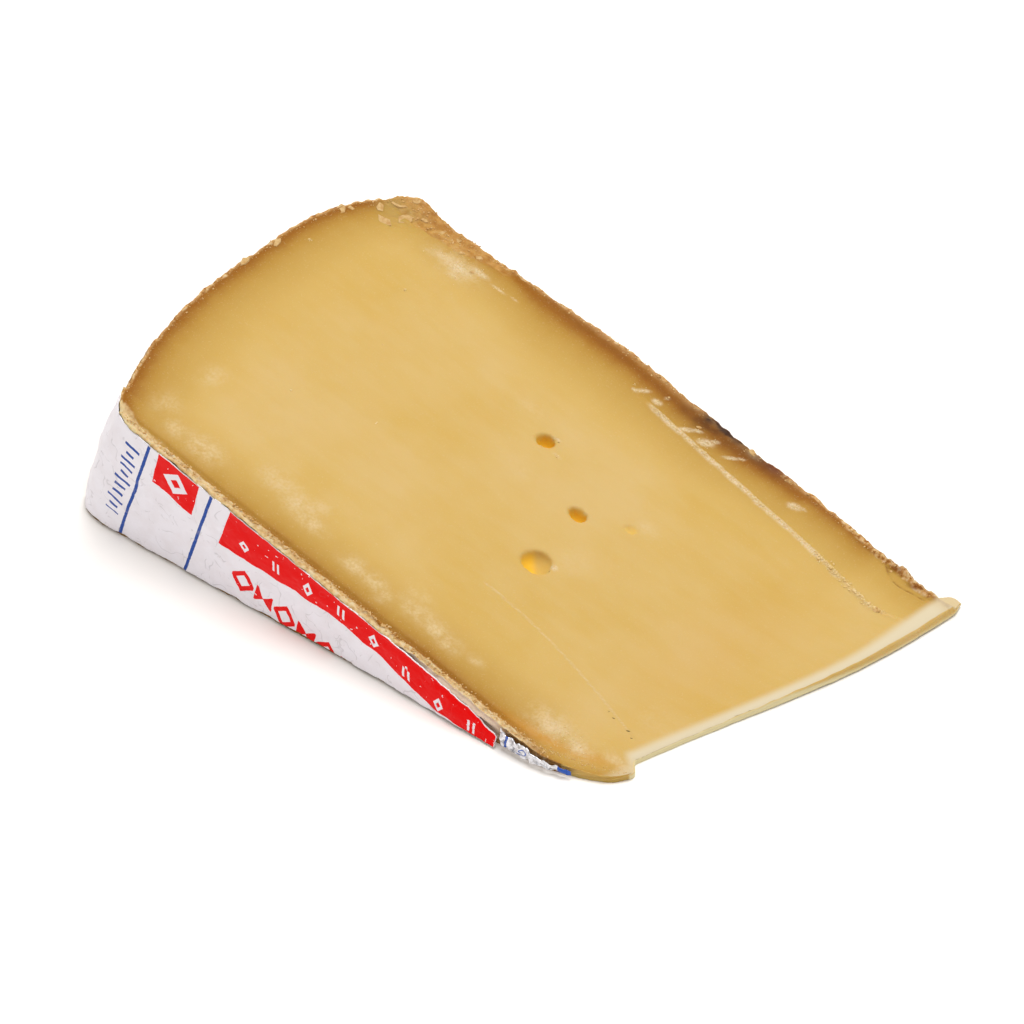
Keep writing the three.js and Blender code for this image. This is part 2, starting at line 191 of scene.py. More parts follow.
@dataclass(frozen=True)
class Eye:
    """A gas eye cut open by the knife: an ellipsoid whose centre lies under the face."""

    x: float
    y: float
    rx: float
    ry: float
    rz: float
    under: float
    gather: float = 3.2  # how many mouth widths round the eye the mesh is drawn in from
    pull: float = 1.7  # how strongly it is drawn in; 1 is not at all

    @property
    def rim_angle(self) -> float:
        """Angle of the mouth's rim from the ellipsoid's lowest point."""
        return math.pi - math.acos(self.under / self.rz)

    def offset(self, x: Array, y: Array) -> tuple[Array, Array, Array]:
        """Place relative to the mouth.

        Args:
            x, y: Places on the cut face.
        Returns:
            Both offsets in mouth radii, and their length, with the mouth a little uneven.
        """
        mouth = math.sin(self.rim_angle)
        dx, dy = (x - self.x) / (self.rx * mouth), (y - self.y) / (self.ry * mouth)
        angle = np.arctan2(dy, dx)
        uneven = 1.0 + 0.05 * np.sin(2.0 * angle + self.x) + 0.03 * np.sin(3.0 * angle + self.y)
        return dx, dy, np.hypot(dx, dy) / uneven

    def draw_in(self, x: Array, y: Array) -> tuple[Array, Array]:
        """Draws the mesh in towards the eye, so that its mouth gets more vertices.

        Args:
            x, y: Places, in the wedge's own millimetres.
        Returns:
            The new places.
        """
        _, _, out = self.offset(x, y)
        share = np.clip(out / self.gather, 1e-6, 1.0)
        scale = share ** (self.pull - 1.0)
        return self.x + (x - self.x) * scale, self.y + (y - self.y) * scale

    def sink(self, x: Array, y: Array, z: Array, middle: float) -> tuple[Array, Array, Array, Array]:
        """Lays the vertices inside the mouth on the ellipsoid.

        Args:
            x, y, z: Places on the cut face.
            middle: Height of the cut face over the eye's centre.
        Returns:
            The new places, and how deep in the eye each one is, from 0 to 1.
        """
        _, _, out = self.offset(x, y)
        inside = out < 1.0
        share = np.minimum(out, 1.0)
        angle = self.rim_angle * share
        reach = np.sin(angle) / np.maximum(math.sin(self.rim_angle) * share, 1e-6)
        deep = middle - self.under - self.rz * np.cos(angle) + (z - middle) * share ** 2
        rim = 0.12 * bell(out - 1.0, 0.16)
        new_x = np.where(inside, self.x + (x - self.x) * reach, x)
        new_y = np.where(inside, self.y + (y - self.y) * reach, y)
        new_z = np.where(inside, deep, z) - rim
        return new_x, new_y, new_z, np.where(inside, 1.0 - share ** 5, 0.0)


@dataclass(frozen=True)
class Shoulder:
    """How the heel falls back from its crest towards one flat rind."""

    sag: float
    power: float
    reach: float


@dataclass(frozen=True)
class Slope:
    """The cut face along one flat rind: it rises from the thin tip to the heel."""

    rise: float
    apex_x: float
    thick: float


@dataclass(frozen=True)
class WedgeForm:
    """Outline and heights of the wedge, from the same sizes as its solid."""

    label_y: float = -43.0
    bare_y: float = 43.0
    heel_foot_x: float = -79.0
    crest_y: float = 8.0
    heel_lean: float = 11.0
    lean_power: float = 1.25
    label_shoulder: Shoulder = Shoulder(11.6, 2.5, 51.0)
    bare_shoulder: Shoulder = Shoulder(11.2, 3.3, 35.0)
    round_reach: float = 6.0
    label_round: tuple[float, float] = (0.6, 1.05)  # how far the corner is cut, in X and in Y
    bare_round: tuple[float, float] = (0.6, -0.3)
    bulge_x: float = -4.0
    bulge_out: float = 1.2
    bulge_spread: float = 22.0
    label_slope: Slope = Slope(0.262, 54.0, 0.9)
    bare_slope: Slope = Slope(0.243, 62.5, 1.2)
    tip_softness: float = 2.6
    lift_x: float = 60.0
    lift_run: float = 18.0
    lift: float = 1.2
    tip_x0: float = 60.6
    tip_run: float = 25.4
    foot_reach: float = 0.3
    foot_lift: float = 0.5
    tip_y0: float = -31.0
    tip_span: float = 70.0
    lobe_y: float = -35.5
    chip_x: float = 46.5
    flap_foot: float = 3.2
    flap_edge: float = 6.2
    flap_x: float = 42.0
    flap_thin: float = 0.24
    ledge_x: float = 2.0
    ledge_y: float = 36.9
    ledge_drift: float = 0.1
    ledge_bend_x: float = 42.0
    ledge_bend: float = 0.005
    ledge_least_y: float = 27.4
    ledge_depth: float = 0.55
    band_width: float = 1.7
    corner_x: float = -50.0
    corner_reach: float = 34.0
    corner_width: float = 6.5
    corner_depth: float = 0.9
    eyes: tuple[Eye, ...] = (
        Eye(-0.8, 14.4, 1.95, 1.6, 2.1, 0.7),
        Eye(14.9, 5.2, 1.9, 1.5, 1.9, 0.6),
        Eye(17.3, -9.3, 3.1, 2.6, 2.0, 0.1),
        Eye(23.8, 10.0, 1.5, 1.1, 0.8, -0.35),
    )

    def cut_plane(self, x: Array, y: Array) -> Array:
        """Height of the upper cut face before its relief.

        Args:
            x, y: Places, in the wedge's own millimetres.
        Returns:
            Heights in millimetres.
        """
        across = np.clip((y - self.label_y) / (self.bare_y - self.label_y), 0.0, 1.0)
        rise = mix(self.label_slope.rise, self.bare_slope.rise, across)
        apex = mix(self.label_slope.apex_x, self.bare_slope.apex_x, across)
        slope = rise * (apex - x)
        lift = self.lift * ease((x - self.lift_x) / self.lift_run)
        thick = mix(self.label_slope.thick, self.bare_slope.thick, across) + lift
        return (slope + thick + np.hypot(slope - thick, self.tip_softness)) / 2.0

    def foot_height(self, x: Array) -> Array:
        """Height of the underside: the dried tip curls up off the table."""
        return self.foot_lift * np.maximum(0.0, (x - self.lift_x) / self.lift_run)

    def ledge_line(self, x: Array) -> Array:
        """Y of the low step that runs along the bare rind."""
        bend = self.ledge_bend * np.maximum(0.0, x - self.ledge_bend_x) ** 2
        return np.maximum(self.ledge_least_y, self.ledge_y - self.ledge_drift * (x - self.ledge_x) - bend)

    def ledge_drop(self, x: Array, y: Array) -> Array:
        """How far the strip beyond the ledge lies below the face."""
        start = ease((x - self.ledge_x) / 6.0) * ease((self.tip_x(y) - x - 2.0) / 4.0)
        return self.ledge_depth * ease((y - self.ledge_line(x)) / 1.1) * start

    def corner_drop(self, x: Array, y: Array) -> Array:
        """The shallow bevel where the corner of heel and bare rind broke away.

        Args:
            x, y: Places, in the wedge's own millimetres.
        Returns:
            Depths in millimetres.
        """
        start = ease((x - self.corner_x + 6.0) / 6.0)
        along = np.clip(1.0 - (x - self.corner_x) / self.corner_reach, 0.0, 1.0) * start
        width = np.maximum(self.corner_width * along, 1e-9)
        return self.corner_depth * along * np.clip((y - self.bare_y + width) / width, 0.0, 1.0)

    def horn_rise(self, x: Array, y: Array) -> Array:
        """The small horn of rind at the same corner."""
        return 1.2 * bell(np.hypot(x + 59.5, y - 41.5), 4.0)

    def band_relief(self, x: Array, y: Array) -> Array:
        """Crumbly rind along the label, with a shallow groove against the paste.

        Args:
            x, y: Places, in the wedge's own millimetres.
        Returns:
            Heights in millimetres.
        """
        inside = y - self.label_y
        groove = 0.4 * bell(inside - self.band_width, 0.6)
        lumps = 0.3 * crags(x, 2.0 * y, 2.2) * ease((self.band_width - inside) / 0.8)
        return (lumps - groove) * ease((self.chip_x - x) / 10.0)

    def crust_relief(self, x: Array, y: Array) -> Array:
        """The raised, broken crust along the bare rind and the heel.

        Args:
            x, y: Places, in the wedge's own millimetres.
        Returns:
            Heights in millimetres.
        """
        from_rind = np.minimum(self.bare_edge(x) - y, x - self.heel_x(y, 1.0))
        proud = 0.95 * ease((x - 50.0) / 8.0) * ease((76.0 - x) / 3.0)
        return np.clip(1.0 - from_rind / 1.6, 0.0, 1.0) * (0.3 * (0.4 + crags(x, y, 2.0)) + proud)

    def cut_height(self, x: Array, y: Array) -> Array:
        """Height of the upper cut face."""
        broken = self.ledge_drop(x, y) + self.corner_drop(x, y) - self.horn_rise(x, y)
        return self.cut_plane(x, y) - broken + self.band_relief(x, y) + self.crust_relief(x, y)

    def heel_x(self, y: Array, share: Array) -> Array:
        """X of the heel at a place across and a share of the height.

        Args:
            y: Places across.
            share: Height as a share of the wedge's height there.
        Returns:
            X in millimetres.
        """
        near, far = self.label_shoulder, self.bare_shoulder
        out = np.abs(y - self.crest_y)
        sag = np.where(
            y < self.crest_y,
            near.sag * np.minimum(1.0, out / near.reach) ** near.power,
            far.sag * np.minimum(1.0, out / far.reach) ** far.power,
        )
        return self.heel_foot_x + self.heel_lean * share ** self.lean_power + sag

    def rounded(self, distance: Array) -> Array:
        """How much a heel corner is rounded in at a distance from it."""
        return np.clip(1.0 - distance / self.round_reach, 0.0, 1.0) ** 2

    def heel_point(self, across: Array, share: Array) -> tuple[Array, Array]:
        """Plan position on the heel.

        Args:
            across: From the labelled rind, 0, to the bare one, 1.
            share: Height as a share of the wedge's height there.
        Returns:
            X and Y in millimetres.
        """
        y = mix(self.label_y, self.bare_y, across)
        near, far = self.rounded(y - self.label_y), self.rounded(self.bare_y - y)
        x = self.heel_x(y, share) + self.label_round[0] * near + self.bare_round[0] * far
        return x, y + self.label_round[1] * near + self.bare_round[1] * far

    def tip_x(self, y: Array, share: Array = 1.0) -> Array:
        """X of the tip's bowed edge: its foot lies further back than its lip.

        Args:
            y: Places across.
            share: Height as a share of the wedge's height there.
        Returns:
            X in millimetres.
        """
        t = (y - self.tip_y0) / self.tip_span
        wave = 0.7 * np.sin(2.0 * np.pi * (t - 0.4))
        lobe = 3.0 * ease((-31.5 - y) / 3.5)
        corner = 0.8 * ease((y - 37.0) / 3.0)
        foot = self.foot_reach * ease((y + 10.0) / 45.0) * ease((41.0 - y) / 6.0) * (1.0 - share)
        return self.tip_x0 + self.tip_run * t - 6.6 * t * t + wave + lobe - corner + foot

    def over_flap(self, share: Array) -> Array:
        """0 in the thin flap under the bare rind's end, 1 above it."""
        return ease((share - self.flap_thin) / 0.4)

    def far_end_y(self, share: Array) -> Array:
        """Y where the tip meets the bare rind."""
        return self.bare_y - mix(self.flap_foot, self.flap_edge, self.over_flap(share))

    def tip_point(self, across: Array, share: Array) -> tuple[Array, Array]:
        """Plan position on the tip's edge."""
        y = mix(self.lobe_y, self.far_end_y(share), across)
        return self.tip_x(y, share), y

    def label_point(self, along: Array, share: Array) -> tuple[Array, Array]:
        """Plan position on the labelled flat rind.

        Args:
            along: From the heel, 0, to the tip, 1.
            share: Height as a share of the wedge's height there.
        Returns:
            X and Y in millimetres.
        """
        start, end = self.heel_x(self.label_y, share), self.tip_x(self.lobe_y, share)
        x = mix(start, end, along)
        near = self.rounded(x - start)
        chip = np.clip((x - self.chip_x) / (end - self.chip_x), 0.0, 1.0)
        y = self.label_y + 5.0 * chip ** 1.3 + 2.5 * chip ** 8
        return x + self.label_round[0] * near, y + self.label_round[1] * near

    def label_reach(self, x: Array, share: Array) -> Array:
        """How far along the labelled flat rind an X lies, from 0 to 1."""
        start = self.heel_x(self.label_y, share)
        return (x - start) / (self.tip_x(self.lobe_y, share) - start)

    def bare_point(self, along: Array, share: Array) -> tuple[Array, Array]:
        """Plan position on the bare flat rind.

        Args:
            along: From the heel, 0, to the tip, 1.
            share: Height as a share of the wedge's height there.
        Returns:
            X and Y in millimetres.
        """
        start, end_y = self.heel_x(self.bare_y, share), self.far_end_y(share)
        end = self.tip_x(end_y, share)
        x = mix(start, end, along)
        near = self.rounded(x - start)
        crust_end = self.tip_x(self.far_end_y(1.0))
        drawn = self.flap_edge * ease((x - self.flap_x) / (crust_end - self.flap_x))
        low = 1.0 - self.over_flap(share)
        tongue = (self.flap_edge - self.flap_foot) * low * ease((x - 73.0) / 3.6)
        missing = 0.7 * low * bell(x - 64.0, 6.0)
        swell = self.bulge_out * bell(x - self.bulge_x, self.bulge_spread) + 0.9 * bell(x - 63.0, 8.0)
        y = self.bare_y + swell - drawn + tongue - missing + self.bare_round[1] * near
        return x + self.bare_round[0] * near, y

    def bare_edge(self, x: Array) -> Array:
        """Y of the upper face's edge along the bare rind."""
        start, end = self.heel_x(self.bare_y, 1.0), self.tip_x(self.far_end_y(1.0))
        return self.bare_point(np.clip((x - start) / (end - start), 0.0, 1.0), 1.0)[1]

    def covers(self, x: float, y: float) -> bool:
        """Whether a place lies well on the upper cut face.

        Args:
            x, y: The place, in the wedge's own millimetres.
        Returns:
            True if it does.
        """
        far = self.bare_edge(x)
        near = self.label_point(np.clip(self.label_reach(x, 1.0), 0.0, 1.0), 1.0)[1]
        inside = near + 0.15 < y < far - 0.15
        return bool(inside and self.heel_x(y, 1.0) + 0.25 < x < self.tip_x(y) - 0.5)


FORM = WedgeForm()


class Side(Enum):
    """The four walls of the wedge, in the order of a walk round it from above."""

    LABEL = 0
    TIP = 1
    BARE = 2
    HEEL = 3


class Term:
    """A number of a material that plain arithmetic can be done with."""

    def __init__(self, graph: "Graph", socket: Socket) -> None:
        """Holds the socket that gives the number."""
        self.graph, self.socket = graph, socket

    def step(self, operation: str, *others: object) -> "Term":
        """One step of arithmetic with other terms or plain numbers.

        Args:
            operation: Blender's name for it.
            others: The other terms or numbers.
        Returns:
            The result.
        """
        made = self.graph.node("ShaderNodeMath", operation=operation)
        for target, value in zip(made.inputs, (self, *others)):
            self.graph.feed(target, value)
        return Term(self.graph, made.outputs[0])

    def __add__(self, other: object) -> "Term":
        """Sum."""
        return self.step("ADD", other)

    def __sub__(self, other: object) -> "Term":
        """Difference."""
        return self.step("SUBTRACT", other)

    def __mul__(self, other: object) -> "Term":
        """Product."""
        return self.step("MULTIPLY", other)

    def __neg__(self) -> "Term":
        """The same number below zero."""
        return self.step("MULTIPLY", -1.0)

    def __abs__(self) -> "Term":
        """The number without its sign."""
        return self.step("ABSOLUTE")

    def least(self, *others: object) -> "Term":
        """The smallest of several numbers.

        Args:
            others: Terms or numbers.
        Returns:
            The smallest of them and this one.
        """
        found = self
        for other in others:
            found = found.step("MINIMUM", other)
        return found

    def most(self, *others: object) -> "Term":
        """The largest of several numbers.

        Args:
            others: Terms or numbers.
        Returns:
            The largest of them and this one.
        """
        found = self
        for other in others:
            found = found.step("MAXIMUM", other)
        return found

    def cell(self, step: float) -> tuple["Term", "Term"]:
        """Cuts a line into equal cells: place from each cell's middle, and the cell's number."""
        number = (self * (1.0 / step)).step("FLOOR")
        return self - number * step - step / 2.0, number


class Graph:
    """Short calls for building one procedural material."""

    def __init__(self, name: str) -> None:
        """Starts a material with one principled shader.

        Args:
            name: The material's name.
        """
        self.material = bpy.data.materials.new(name)
        self.material.use_nodes = True
        self.tree = self.material.node_tree
        self.shader = self.tree.nodes["Principled BSDF"]

    def node(self, kind: str, **settings: object) -> bpy.types.Node:
        """Adds a node and sets its properties.

        Args:
            kind: Blender's name for the node.
            settings: Its properties.
        Returns:
            The node.
        """
        made = self.tree.nodes.new(kind)
        for name, value in settings.items():
            setattr(made, name, value)
        return made

    def feed(self, target: Socket, value: object) -> None:
        """Links a socket, or sets its value if it is a number or a colour.

        Args:
            target: The socket.
            value: A term, another socket, a number or a colour.
        """
        if isinstance(value, Term):
            self.tree.links.new(value.socket, target)
        elif isinstance(value, bpy.types.NodeSocket):
            self.tree.links.new(value, target)
        elif isinstance(value, tuple) and len(value) == 3 and target.type == "RGBA":
            target.default_value = (*value, 1.0)
        else:
            target.default_value = value

    def layer(self, name: str) -> Term:
        """A value stored on the mesh's vertices."""
        return Term(self, self.node("ShaderNodeAttribute", attribute_name=name).outputs["Fac"])

    def place(self, start: tuple[float, ...], sizes: tuple[float, ...]) -> Socket:
        """Place on the object, counted from a start in steps of some millimetres.

        Args:
            start: Where the count starts.
            sizes: Length of a step along each axis.
        Returns:
            The place.
        """
        turn = self.node("ShaderNodeMapping")
        self.feed(turn.inputs["Vector"], self.node("ShaderNodeTexCoord").outputs["Object"])
        self.feed(turn.inputs["Location"], start)
        self.feed(turn.inputs["Scale"], tuple(1.0 / (size * MM) for size in sizes))
        return turn.outputs["Vector"]

    def noise(self, size: float, detail: float = 3.0, seed: float = 0.0,
              stretch: tuple[float, float, float] = (1.0, 1.0, 1.0)) -> Term:
        """Soft noise of a size in millimetres.

        Args:
            size: Width of its blotches.
            detail: How many finer layers it has.
            seed: Moves it, so that two noises differ.
            stretch: How much longer its blotches are along each axis.
        Returns:
            The noise, about 0.5 in the mean.
        """
        made = self.node("ShaderNodeTexNoise")
        sizes = tuple(size * s for s in stretch)
        self.feed(made.inputs["Vector"], self.place((seed, 0.37 * seed, 0.71 * seed), sizes))
        made.inputs["Scale"].default_value = 1.0
        made.inputs["Detail"].default_value = detail
        return Term(self, made.outputs["Fac"])

    def cracks(self, size: float, seed: float) -> Term:
        """Distance from the edges of random cells of a size in millimetres.

        Args:
            size: Width of the cells.
            seed: Moves them.
        Returns:
            The distance, 0 on an edge.
        """
        made = self.node("ShaderNodeTexVoronoi", feature="DISTANCE_TO_EDGE")
        self.feed(made.inputs["Vector"], self.place((seed,) * 3, (size,) * 3))
        return Term(self, made.outputs["Distance"])

    def vein(self, size: float, seed: float, width: float) -> Term:
        """Thin wandering lines, some millimetres apart."""
        return self.span(abs(self.noise(size, 1.5, seed) - 0.5), 0.0, width, 1.0, 0.0)

    def span(self, value: Term, low: float, high: float, start: float = 0.0, end: float = 1.0) -> Term:
        """Maps low..high to start..end and holds it there.

        Args:
            value: The value.
            low, high: Where the change begins and ends.
            start, end: The results there.
        Returns:
            The mapped value.
        """
        made = self.node("ShaderNodeMapRange", interpolation_type="SMOOTHSTEP")
        self.feed(made.inputs["Value"], value)
        for name, number in (("From Min", low), ("From Max", high), ("To Min", start), ("To Max", end)):
            made.inputs[name].default_value = number
        return Term(self, made.outputs["Result"])

    def ramp(self, value: Term, stops: Sequence[tuple[float, Colour]]) -> Socket:
        """Colours at named places from 0 to 1.

        Args:
            value: The place on the ramp.
            stops: Places and their colours.
        Returns:
            The colour.
        """
        made = self.node("ShaderNodeValToRGB")
        band = made.color_ramp
        while len(band.elements) < len(stops):
            band.elements.new(0.5)
        for element, (place, colour) in zip(band.elements, stops):
            element.position = place
            element.color = (*colour, 1.0)
        self.feed(made.inputs["Fac"], value)
        return made.outputs["Color"]

    def blend(self, share: object, first: object, second: object, how: str = "MIX") -> Socket:
        """Mixes two colours.

        Args:
            share: How much of the second.
            first, second: The colours.
            how: Blender's name for the way.
        Returns:
            The mixed colour.
        """
        made = self.node("ShaderNodeMix", data_type="RGBA", blend_type=how)
        self.feed(made.inputs["Factor"], share)
        self.feed(made.inputs[6], first)
        self.feed(made.inputs[7], second)
        return made.outputs[2]

    def coats(self, colour: object, *coats: tuple[Term, object]) -> Socket:
        """Lays tints over a colour, one after another.

        Args:
            colour: What lies below.
            coats: The mask and the tint of each.
        Returns:
            The colour with all of them on it.
        """
        for mask, tint in coats:
            colour = self.blend(mask, colour, tint)
        return colour

    def bump(self, height: Term, depth: float, strength: float = 1.0) -> None:
        """Fine relief of a depth in millimetres on top of what is already there.

        Args:
            height: The relief.
            depth: Its depth.
            strength: How strongly it shows.
        """
        made = self.node("ShaderNodeBump")
        made.inputs["Strength"].default_value = strength
        made.inputs["Distance"].default_value = depth * MM
        self.feed(made.inputs["Height"], height)
        into = self.shader.inputs["Normal"]
        if into.is_linked:
            self.feed(made.inputs["Normal"], into.links[0].from_socket)
        self.feed(into, made.outputs["Normal"])

    def set(self, **values: object) -> None:
        """Sets or links sockets of the shader, whose names have _ for a space."""
        for name, value in values.items():
            self.feed(self.shader.inputs[name.replace("_", " ")], value)


@dataclass(frozen=True)
class PasteLook:
    """The pressed paste: golden, browner and drier towards the rind, with pale bloom on it."""

    heart: Colour = seen(224, 187, 113)
    pale: Colour = seen(226, 191, 124)
    rich: Colour = seen(221, 182, 101)
    bloom: Colour = seen(232, 203, 154)
    frost: Colour = seen(238, 214, 176)
    band: Colour = seen(238, 206, 156)
    band_shade: Colour = seen(218, 176, 120)
    corner: Colour = seen(214, 164, 96)
    corner_shade: Colour = seen(188, 134, 70)
    crust: Colour = seen(214, 168, 108)
    # Painted glow: pale colour on the tip's lower wall, standing in for light that shines through the thin
    # tip and lifts its contact shade.
    painted_glow: Colour = seen(248, 234, 188)
    chalk: Colour = seen(240, 212, 162)
    burnt: Colour = seen(146, 90, 30)
    crust_shade: Colour = seen(164, 112, 56)
    crust_light: Colour = seen(232, 202, 158)
    amber: Colour = seen(214, 148, 44)
    olive: Colour = seen(196, 166, 98)
    mould: Colour = seen(62, 62, 40)
    stain: Colour = seen(66, 42, 20)
    russet: Colour = seen(128, 66, 24)
    # Painted golden light and shade inside the eyes.
    eye: Colour = (0.76, 0.45, 0.035)
    # Pale dry edge of the tip, painted paler still for light shining through the thin paste; on the tip's
    # wall it is partly a painted highlight on the lip.
    tip: Colour = seen(233, 217, 186)
    gradient: tuple[tuple[float, Colour], ...] = (
        (0.0, seen(206, 160, 108)),
        (0.7, seen(184, 134, 78)),
        (1.3, seen(164, 109, 46)),
        (2.2, seen(163, 105, 40)),
        (3.0, seen(172, 118, 47)),
        (4.0, seen(186, 138, 63)),
        (5.0, seen(195, 150, 71)),
        (6.5, seen(203, 161, 83)),
        (9.0, seen(211, 171, 93)),
        (14.0, seen(220, 181, 103)),
    )
    reach: float = 14.0

    def material(self) -> bpy.types.Material:
        """Builds the material.

        Returns:
            The finished material.
        """
        g = Graph("paste")
        rind = g.layer("rind_mm")
        wander = (g.noise(6.0, 4.0) - 0.5) * 1.6 * g.span(rind, 0.3, 4.0)
        share = (rind + wander + (g.noise(0.6, 2.0, 3.0) - 0.5) * 0.7) * (1.0 / self.reach)
        colour = g.ramp(share, [(place / self.reach, tint) for place, tint in self.gradient])
        inner = g.span(rind, 9.0, 19.0)
        mottle = g.ramp(g.noise(26.0, 3.0, 5.0), [(0.36, self.rich), (0.52, self.heart), (0.66, self.pale)])
        strokes = g.span(g.noise(3.4, 3.0, 37.0, (7.0, 1.0, 1.0)), 0.34, 0.66, 0.0, 0.13)
        broken = g.ramp(g.noise(1.8, 4.0, 31.0), [(0.4, self.corner_shade), (0.6, self.corner)])
        flour = [(0.38, self.band_shade), (0.52, self.band), (0.66, self.frost)]
        rough = [(0.38, self.crust_shade), (0.5, self.crust), (0.64, self.crust_light)]
        cloud = g.layer("bloom") * g.span(g.noise(2.6, 5.0, 8.0), 0.32, 0.56, 0.35, 1.0)
        grains = g.span(g.noise(0.55, 2.0, 33.0), 0.42, 0.58, 0.6, 1.0)
        dust = g.span(g.noise(0.9, 4.0, 41.0), 0.36, 0.56, 0.5, 1.0)
        crumbly = g.span(g.noise(0.4, 4.0, 14.0), 0.38, 0.58, 0.4, 1.0)
        colour = g.coats(
            colour,
            (inner, mottle),
            (strokes * inner, self.bloom),
            (g.layer("amber"), self.amber),
            (g.layer("burnt"), self.burnt),
            (g.layer("corner"), broken),
            (g.layer("olive"), self.olive),
            (g.layer("band"), g.ramp(g.noise(1.0, 4.0, 27.0), flour)),
            (g.layer("crust"), g.ramp(g.noise(0.9, 4.0, 29.0), rough)),
            (cloud * grains, self.bloom),
            (g.layer("pale") * 0.5, self.pale),
            (g.span(g.noise(0.35, 1.0, 11.0), 0.62, 0.74) * 0.2, self.bloom),
            # Pale dry tip, partly painted light.
            (g.layer("tip"), self.tip),
            # Painted glow on the tip's wall.
            (g.layer("painted_glow"), self.painted_glow),
            (g.layer("chalk") * dust, self.chalk),
            # Painted golden light and shade in the eyes.
            (g.layer("eye"), self.eye),
            (g.span(g.layer("frost"), 0.1, 0.85) * crumbly, self.frost),
            (g.layer("russet") * 0.9, self.russet),
            (g.layer("crack"), self.russet),
            (g.layer("stain"), self.stain),
            (g.span(g.layer("mould"), 0.35, 0.7), self.mould),
        )
        g.set(Base_Color=colour, Subsurface_Scale=0.002, Specular_IOR_Level=0.1)
        g.set(Subsurface_Weight=g.span(g.layer("tip").most(g.layer("painted_glow")), 0.1, 0.7, 0.3, 0.0))
        g.shader.inputs["Subsurface Radius"].default_value = (1.0, 0.55, 0.22)
        g.set(Roughness=g.span(g.noise(3.0, 3.0, 23.0), 0.3, 0.7, 0.4, 0.55))
        g.bump(g.noise(0.5, 4.0, 2.0), 0.05, 0.5)
        g.bump(g.noise(2.8, 3.0, 6.0), 0.12, 0.35)
        return g.material


@dataclass(frozen=True)
class RindLook:
    """The washed rind: dry, tan to ochre, speckled, with fine cracks."""

    tan: Colour = seen(200, 156, 102)
    ochre: Colour = seen(174, 122, 66)
    umber: Colour = seen(132, 86, 42)
    chalk: Colour = seen(222, 196, 160)
    # Pale pink of the bared rind over the label's end, painted paler than it is to fill the shade under the
    # overhanging crust.
    pink_and_painted_light: Colour = seen(254, 226, 204)
    dark: Colour = seen(62, 42, 26)

    def material(self) -> bpy.types.Material:
        """Builds the material.

        Returns:
            The finished material.
        """
        g = Graph("rind")
        broad = g.ramp(g.noise(8.0, 5.0, 1.0), [(0.34, self.umber), (0.46, self.ochre), (0.62, self.tan)])
        grain = g.ramp(g.noise(0.9, 5.0, 4.0), [(0.35, self.ochre), (0.55, self.tan), (0.7, self.chalk)])
        colour = g.blend(0.5, broad, grain)
        seam = g.span(g.cracks(3.0, 2.0), 0.0, 0.06, 1.0, 0.0)
        colour = g.coats(
            colour,
            (g.span(g.noise(1.6, 4.0, 9.0), 0.58, 0.7) * 0.7, self.chalk),
            (seam * 0.55, self.umber),
            # Pale pink, partly painted light.
            (g.layer("pink_and_painted_light"), self.pink_and_painted_light),
            (g.span(g.layer("stain") * g.noise(1.4, 3.0, 19.0), 0.14, 0.36), self.dark),
        )
        g.set(Base_Color=colour, Roughness=g.span(g.noise(2.0, 3.0, 5.0), 0.3, 0.7, 0.6, 0.85))
        g.set(Subsurface_Weight=0.12, Subsurface_Scale=0.0012, Specular_IOR_Level=0.2)
        g.shader.inputs["Subsurface Radius"].default_value = (1.0, 0.6, 0.3)
        g.bump(seam, 0.2, 0.5)
        g.bump(g.noise(0.4, 5.0, 7.0), 0.12, 0.7)
        return g.material


@dataclass(frozen=True)
class CrumbLook:
    """Crumbs and grains that the knife left."""

    name: str
    dark: Colour
    light: Colour

    def material(self) -> bpy.types.Material:
        """Builds the material.

        Returns:
            The finished material.
        """
        g = Graph(self.name)
        colour = g.ramp(g.noise(0.8, 3.0), [(0.35, self.dark), (0.65, self.light)])
        g.set(Base_Color=colour, Roughness=0.6, Specular_IOR_Level=0.15)
        g.bump(g.noise(0.2, 3.0), 0.04, 0.5)
        return g.material


